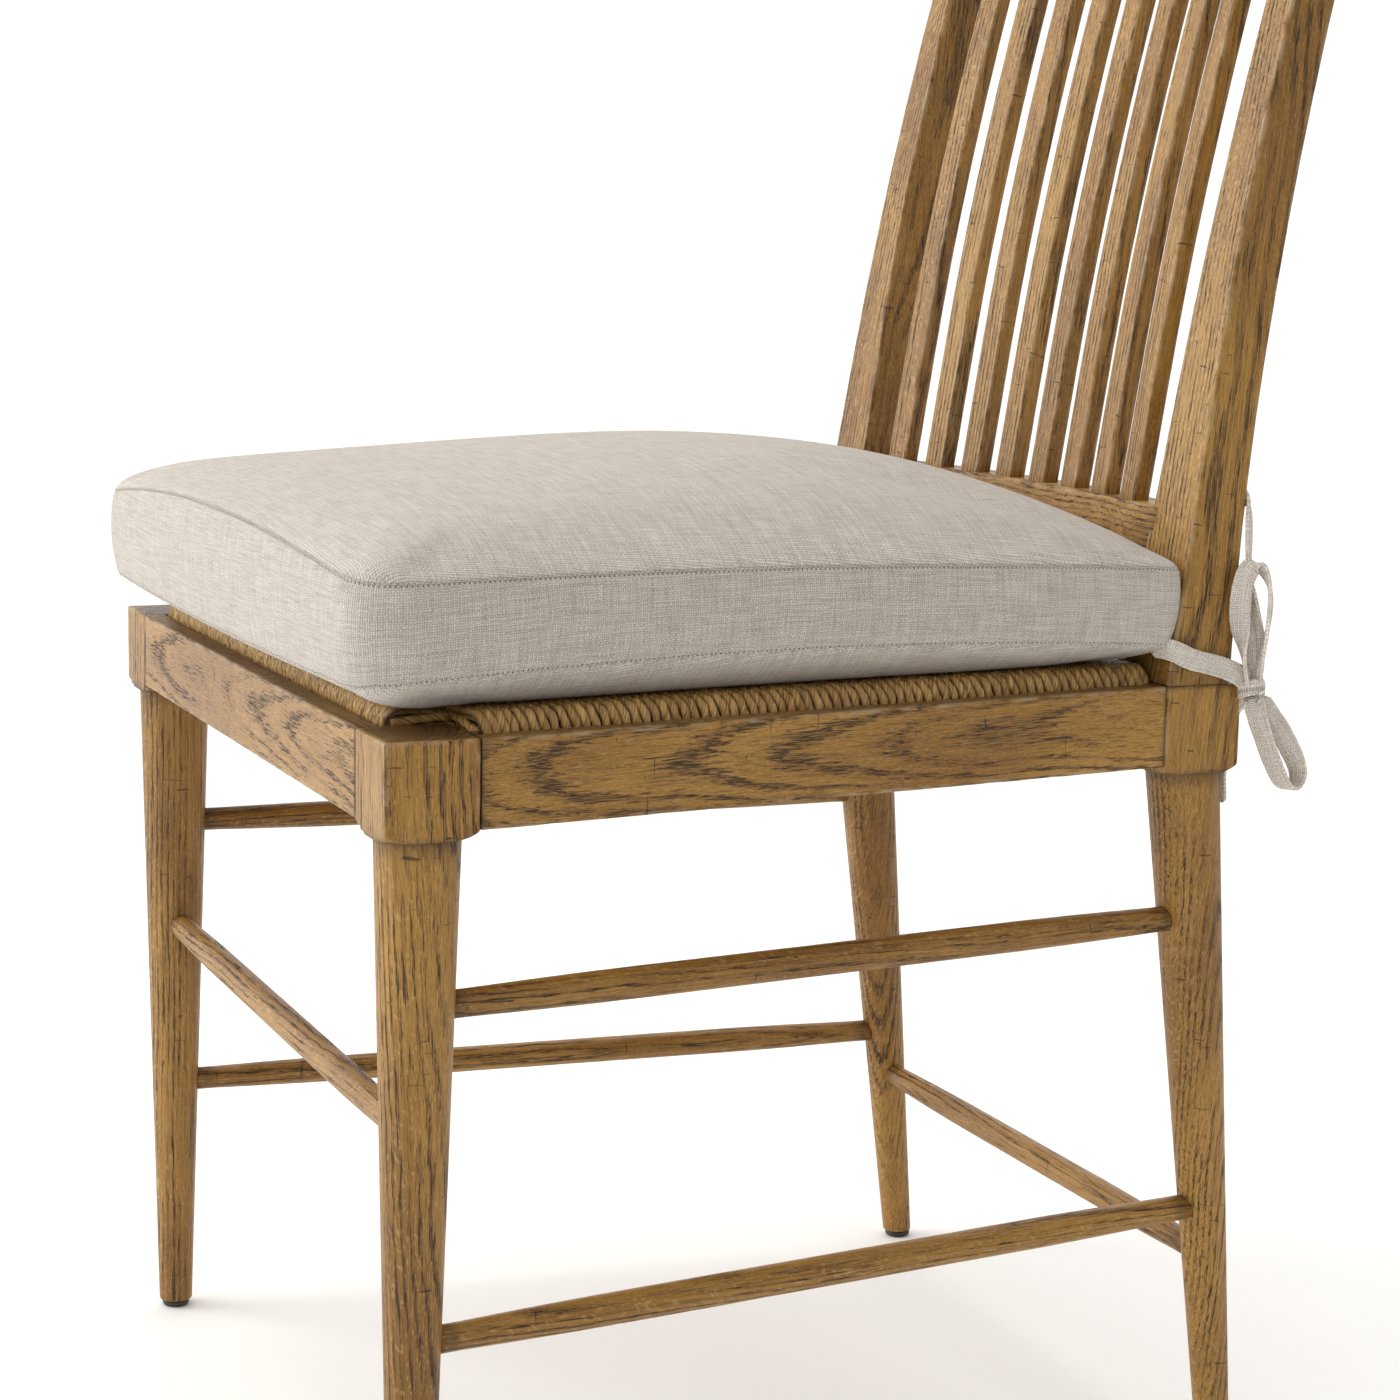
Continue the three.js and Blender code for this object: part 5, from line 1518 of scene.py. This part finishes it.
def tie_routes():
    """Where each strap runs at the chair's left rear corner."""
    out = BACK_HALF + 0.6 + STRAP_THICKNESS / 2
    up = (0, 0, 1)
    return {
        "tie_strap": [
            ((203, 188, 20), (0.2, 0, 1)),
            ((out - 1, 195, 18.5), up),
            ((out + 1, 205, 14), up),
            ((out + 1, 222, 9.5), up),
            ((out + 2, 234, 4.5), (0, 0.25, 1)),
            (KNOT + [0, -2, 2.5], (0, 0.5, 1)),
        ],
        "tie_back_strap": [
            ((162, 222, 80), (1, 0.2, 0.3)),
            ((167, 232, 91), (0.2, 0, 1)),
            ((180, 239.5, 95), (0, 0, 1)),
            ((194, 240.5, 96), (0, 0.1, 1)),
            ((204, 241, 94), (0.6, -0.4, 0.6)),
            ((206.5, 241, 82), (0.7, -0.7, 0.1)),
            ((208, 241, 60), (0.8, -0.6, 0)),
            ((212, 241, 40), (1, 0.1, 0)),
            ((215, 242, 17), (0.4, 1, 0)),
            (KNOT + [-1, 1, 3], (0.6, 1, 0)),
        ],
        "tie_bow": [
            (KNOT + [1, -2, 3], (0.6, -0.6, 0)),
            (KNOT + [2, -7, 18], (0.9, -0.5, 0.1)),
            (KNOT + [1.5, -10, 40], (0.6, 0.8, 0.1)),
            (KNOT + [2.5, -9, 58], (0.5, 1, 0.4)),
            (KNOT + [4, -3, 66], (1, 0.6, -0.1)),
            (KNOT + [6.5, 4, 54], (0.8, -0.5, 0)),
            (KNOT + [6, 4.5, 34], (0.8, -0.6, 0)),
            (KNOT + [2.5, 1.5, 12], (1, -0.1, 0)),
            (KNOT + [1.5, 0, 2], (1, 0.5, 0)),
        ],
        "tie_tail": [
            (KNOT + [0, 1, -3], (0.4, 1, 0.5)),
            (KNOT + [3, 5, -20], (0.9, 0.6, 0.3)),
            (KNOT + [5, 12, -38], (1, 0.5, 0.2)),
            (KNOT + [6, 19, -50], (1, 0.3, 0.1)),
            (KNOT + [4, 27, -51], (1, 0.1, 0.1)),
            (KNOT + [3, 29, -42], (0.9, 0.5, 0.3)),
            (KNOT + [1, 20, -24], (0.5, 1, 0.6)),
            (KNOT + [1, 5, -5], (0.4, 1, 0.5)),
        ],
        "tie_end": [
            (KNOT + [-2, -3, -3], (1, 0.2, 0)),
            (KNOT + [-10, -4.5, -12], (1, 0.1, 0)),
            (KNOT + [-19, -4.5, -38], (1, 0.1, 0)),
            (KNOT + [-21, -3.5, -62], (0.9, 0.4, 0)),
        ],
    }


def knot(name, side, replaced):
    """The knot: a strap wrapped round the others, as a short fat wound band."""
    rings = []
    for t in np.arange(KNOT_RINGS) / (KNOT_RINGS - 1):
        a = t * 2.6 * math.pi
        lift = (t - 0.5) * 5
        centre = KNOT + [5.4 * math.cos(a) * 0.9, 5.6 * math.sin(a), lift + 1.2 * math.sin(a * 1.3)]
        outward = unit(np.array([math.cos(a), math.sin(a), 0.15]))
        circle = round_points(KNOT_SIDES)
        rings.append((centre + UP * circle[:, 1:] * 4.6 + outward * circle[:, :1] * 2.1) * [side, 1, 1])
    piece = skin(name, np.array(rings), side, np.arange(KNOT_RINGS) * 1.8, np.arange(KNOT_SIDES) * 1.1)
    subdivide(piece)
    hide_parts(*replaced)


def ties():
    nodes = {
        "tie_strap": ("tie_outer",),
        "tie_back_strap": ("tie_inner",),
        "tie_bow": ("tie_bow",),
        "tie_tail": ("tie_tail",),
        "tie_end": (),
    }
    for side, word in SIDES:
        for name, route in tie_routes().items():
            strap(f"{name}_{word}", route, [f"{n}_{word}" for n in nodes[name]], side)
        knot(f"tie_knot_{word}", side, [f"tie_knot_{word}"])


# ---------------------------------------------------------------- stage, light and camera


def camera():
    """The photograph's camera, solved from the seat frame, legs and stretchers."""
    data = bpy.data.cameras.new("camera")
    data.sensor_width = 36
    data.lens = 75.48
    data.clip_end = 100
    azimuth = math.radians(66.31)
    pitch = math.radians(8.894)
    roll = math.radians(1.028)
    level_right = Vector((math.cos(azimuth), math.sin(azimuth), 0))
    reach = math.cos(pitch)
    forward = Vector((-math.sin(azimuth) * reach, math.cos(azimuth) * reach, -math.sin(pitch)))
    level_up = level_right.cross(forward)
    right = level_right * math.cos(roll) + level_up * math.sin(roll)
    up = level_up * math.cos(roll) - level_right * math.sin(roll)
    turn = Matrix((right, up, -forward)).transposed().to_4x4()
    place = (np.array([1475.0, FRONT_FACE - 384.65, 221.2]) + DATUM) / MM
    eye = stand("camera", data)
    eye.matrix_world = Matrix.Translation(place) @ turn
    bpy.context.scene.camera = eye


def floor():
    """A plain pale floor that fades into the white surround."""
    g = Graph("floor")
    place = g.place()
    cloud = g.noise(place, scale=0.8)
    g.feed(g.shader.inputs["Alpha"], g.stretch(g.length(place), 2.6, 0.9))
    g.surface(g.blend(cloud, colour(248, 248, 247), colour(251, 251, 250)), 0.9, Specular_IOR_Level=0.1)
    mesh = bpy.data.meshes.new("floor")
    r = 3
    mesh.from_pydata([(-r, -r, 0), (r, -r, 0), (r, r, 0), (-r, r, 0)], [], [(0, 1, 2, 3)])
    mesh.materials.append(g.material)
    ground = stand("floor", mesh)


def world():
    """A pale studio: bright white to the front left, quieter on the camera's side."""
    studio = bpy.data.worlds.new("studio")
    bpy.context.scene.world = studio
    studio.use_nodes = True
    tree = studio.node_tree
    tree.nodes.clear()
    place = tree.nodes.new("ShaderNodeTexCoord")
    dot = tree.nodes.new("ShaderNodeVectorMath")
    dot.operation = "DOT_PRODUCT"
    dot.inputs[1].default_value = Vector((-0.8, -0.5, 0.3)).normalized()
    tree.links.new(place.outputs["Generated"], dot.inputs[0])
    ramp = tree.nodes.new("ShaderNodeMapRange")
    ramp.interpolation_type = "SMOOTHSTEP"
    for key, value in (("From Min", -0.6), ("From Max", 0.75), ("To Min", 0.59), ("To Max", 1.4)):
        ramp.inputs[key].default_value = value
    tree.links.new(dot.outputs["Value"], ramp.inputs["Value"])
    seen = tree.nodes.new("ShaderNodeLightPath")
    pick = tree.nodes.new("ShaderNodeMix")
    tree.links.new(seen.outputs["Is Camera Ray"], pick.inputs["Factor"])
    tree.links.new(ramp.outputs["Result"], pick.inputs[2])
    pick.inputs[3].default_value = 1.1
    back = tree.nodes.new("ShaderNodeBackground")
    back.inputs["Color"].default_value = (1, 0.99, 0.97, 1)
    tree.links.new(pick.outputs[0], back.inputs["Strength"])
    out = tree.nodes.new("ShaderNodeOutputWorld")
    tree.links.new(back.outputs[0], out.inputs[0])


def area(name, place, target, size, power, tint=(1, 1, 1)):
    data = bpy.data.lights.new(name, "AREA")
    data.shape = "RECTANGLE"
    data.size, data.size_y = size
    data.energy = power
    data.color = tint
    lamp = stand(name, data)
    lamp.location = place
    lamp.rotation_euler = (Vector(target) - Vector(place)).to_track_quat("-Z", "Y").to_euler()


def lights():
    seat = (0, 0, DATUM[2] / MM)
    area("key", (-1.7, -3.0, 1.7), seat, (2.2, 1.8), 60, (0.96, 1.0, 1.02))
    area("top", (0.0, 0.3, 3.4), seat, (2.6, 2.6), 14)


# ---------------------------------------------------------------- assembly

camera()
floor()
world()
lights()

for side, word in SIDES:
    front_leg(f"front_leg_{word}", side)
    back_post(f"back_post_{word}", side)
    glide(f"glide_front_{word}", side * FRONT_LEG_X, front_leg_y(FLOOR))
    glide(f"glide_rear_{word}", side * REAR_LEG_X, rear_leg_y(FLOOR))
seat_rails()
stretchers()
bowed_rail("lower_back_rail", LOWER_RAIL_LOW, LOWER_RAIL_HIGH, 0, 71)
bowed_rail("crest_rail", CREST_LOW, CREST_HIGH, CREST_ARCH, 73)
for number in range(SPINDLES):
    spindle(number)
rush_seat()
cushion()
ties()

CARRIED = {"slip_seat_rail": INNER_WOOD, "corner_block": INNER_WOOD, "seat_screw": METAL}
for name, node in frame["nodes"].items():
    for word, material in CARRIED.items():
        if name.startswith(word):
            for slot in node.material_slots:
                slot.material = material

scene = bpy.context.scene
scene.view_settings.view_transform = "Standard"
scene.view_settings.look = "None"
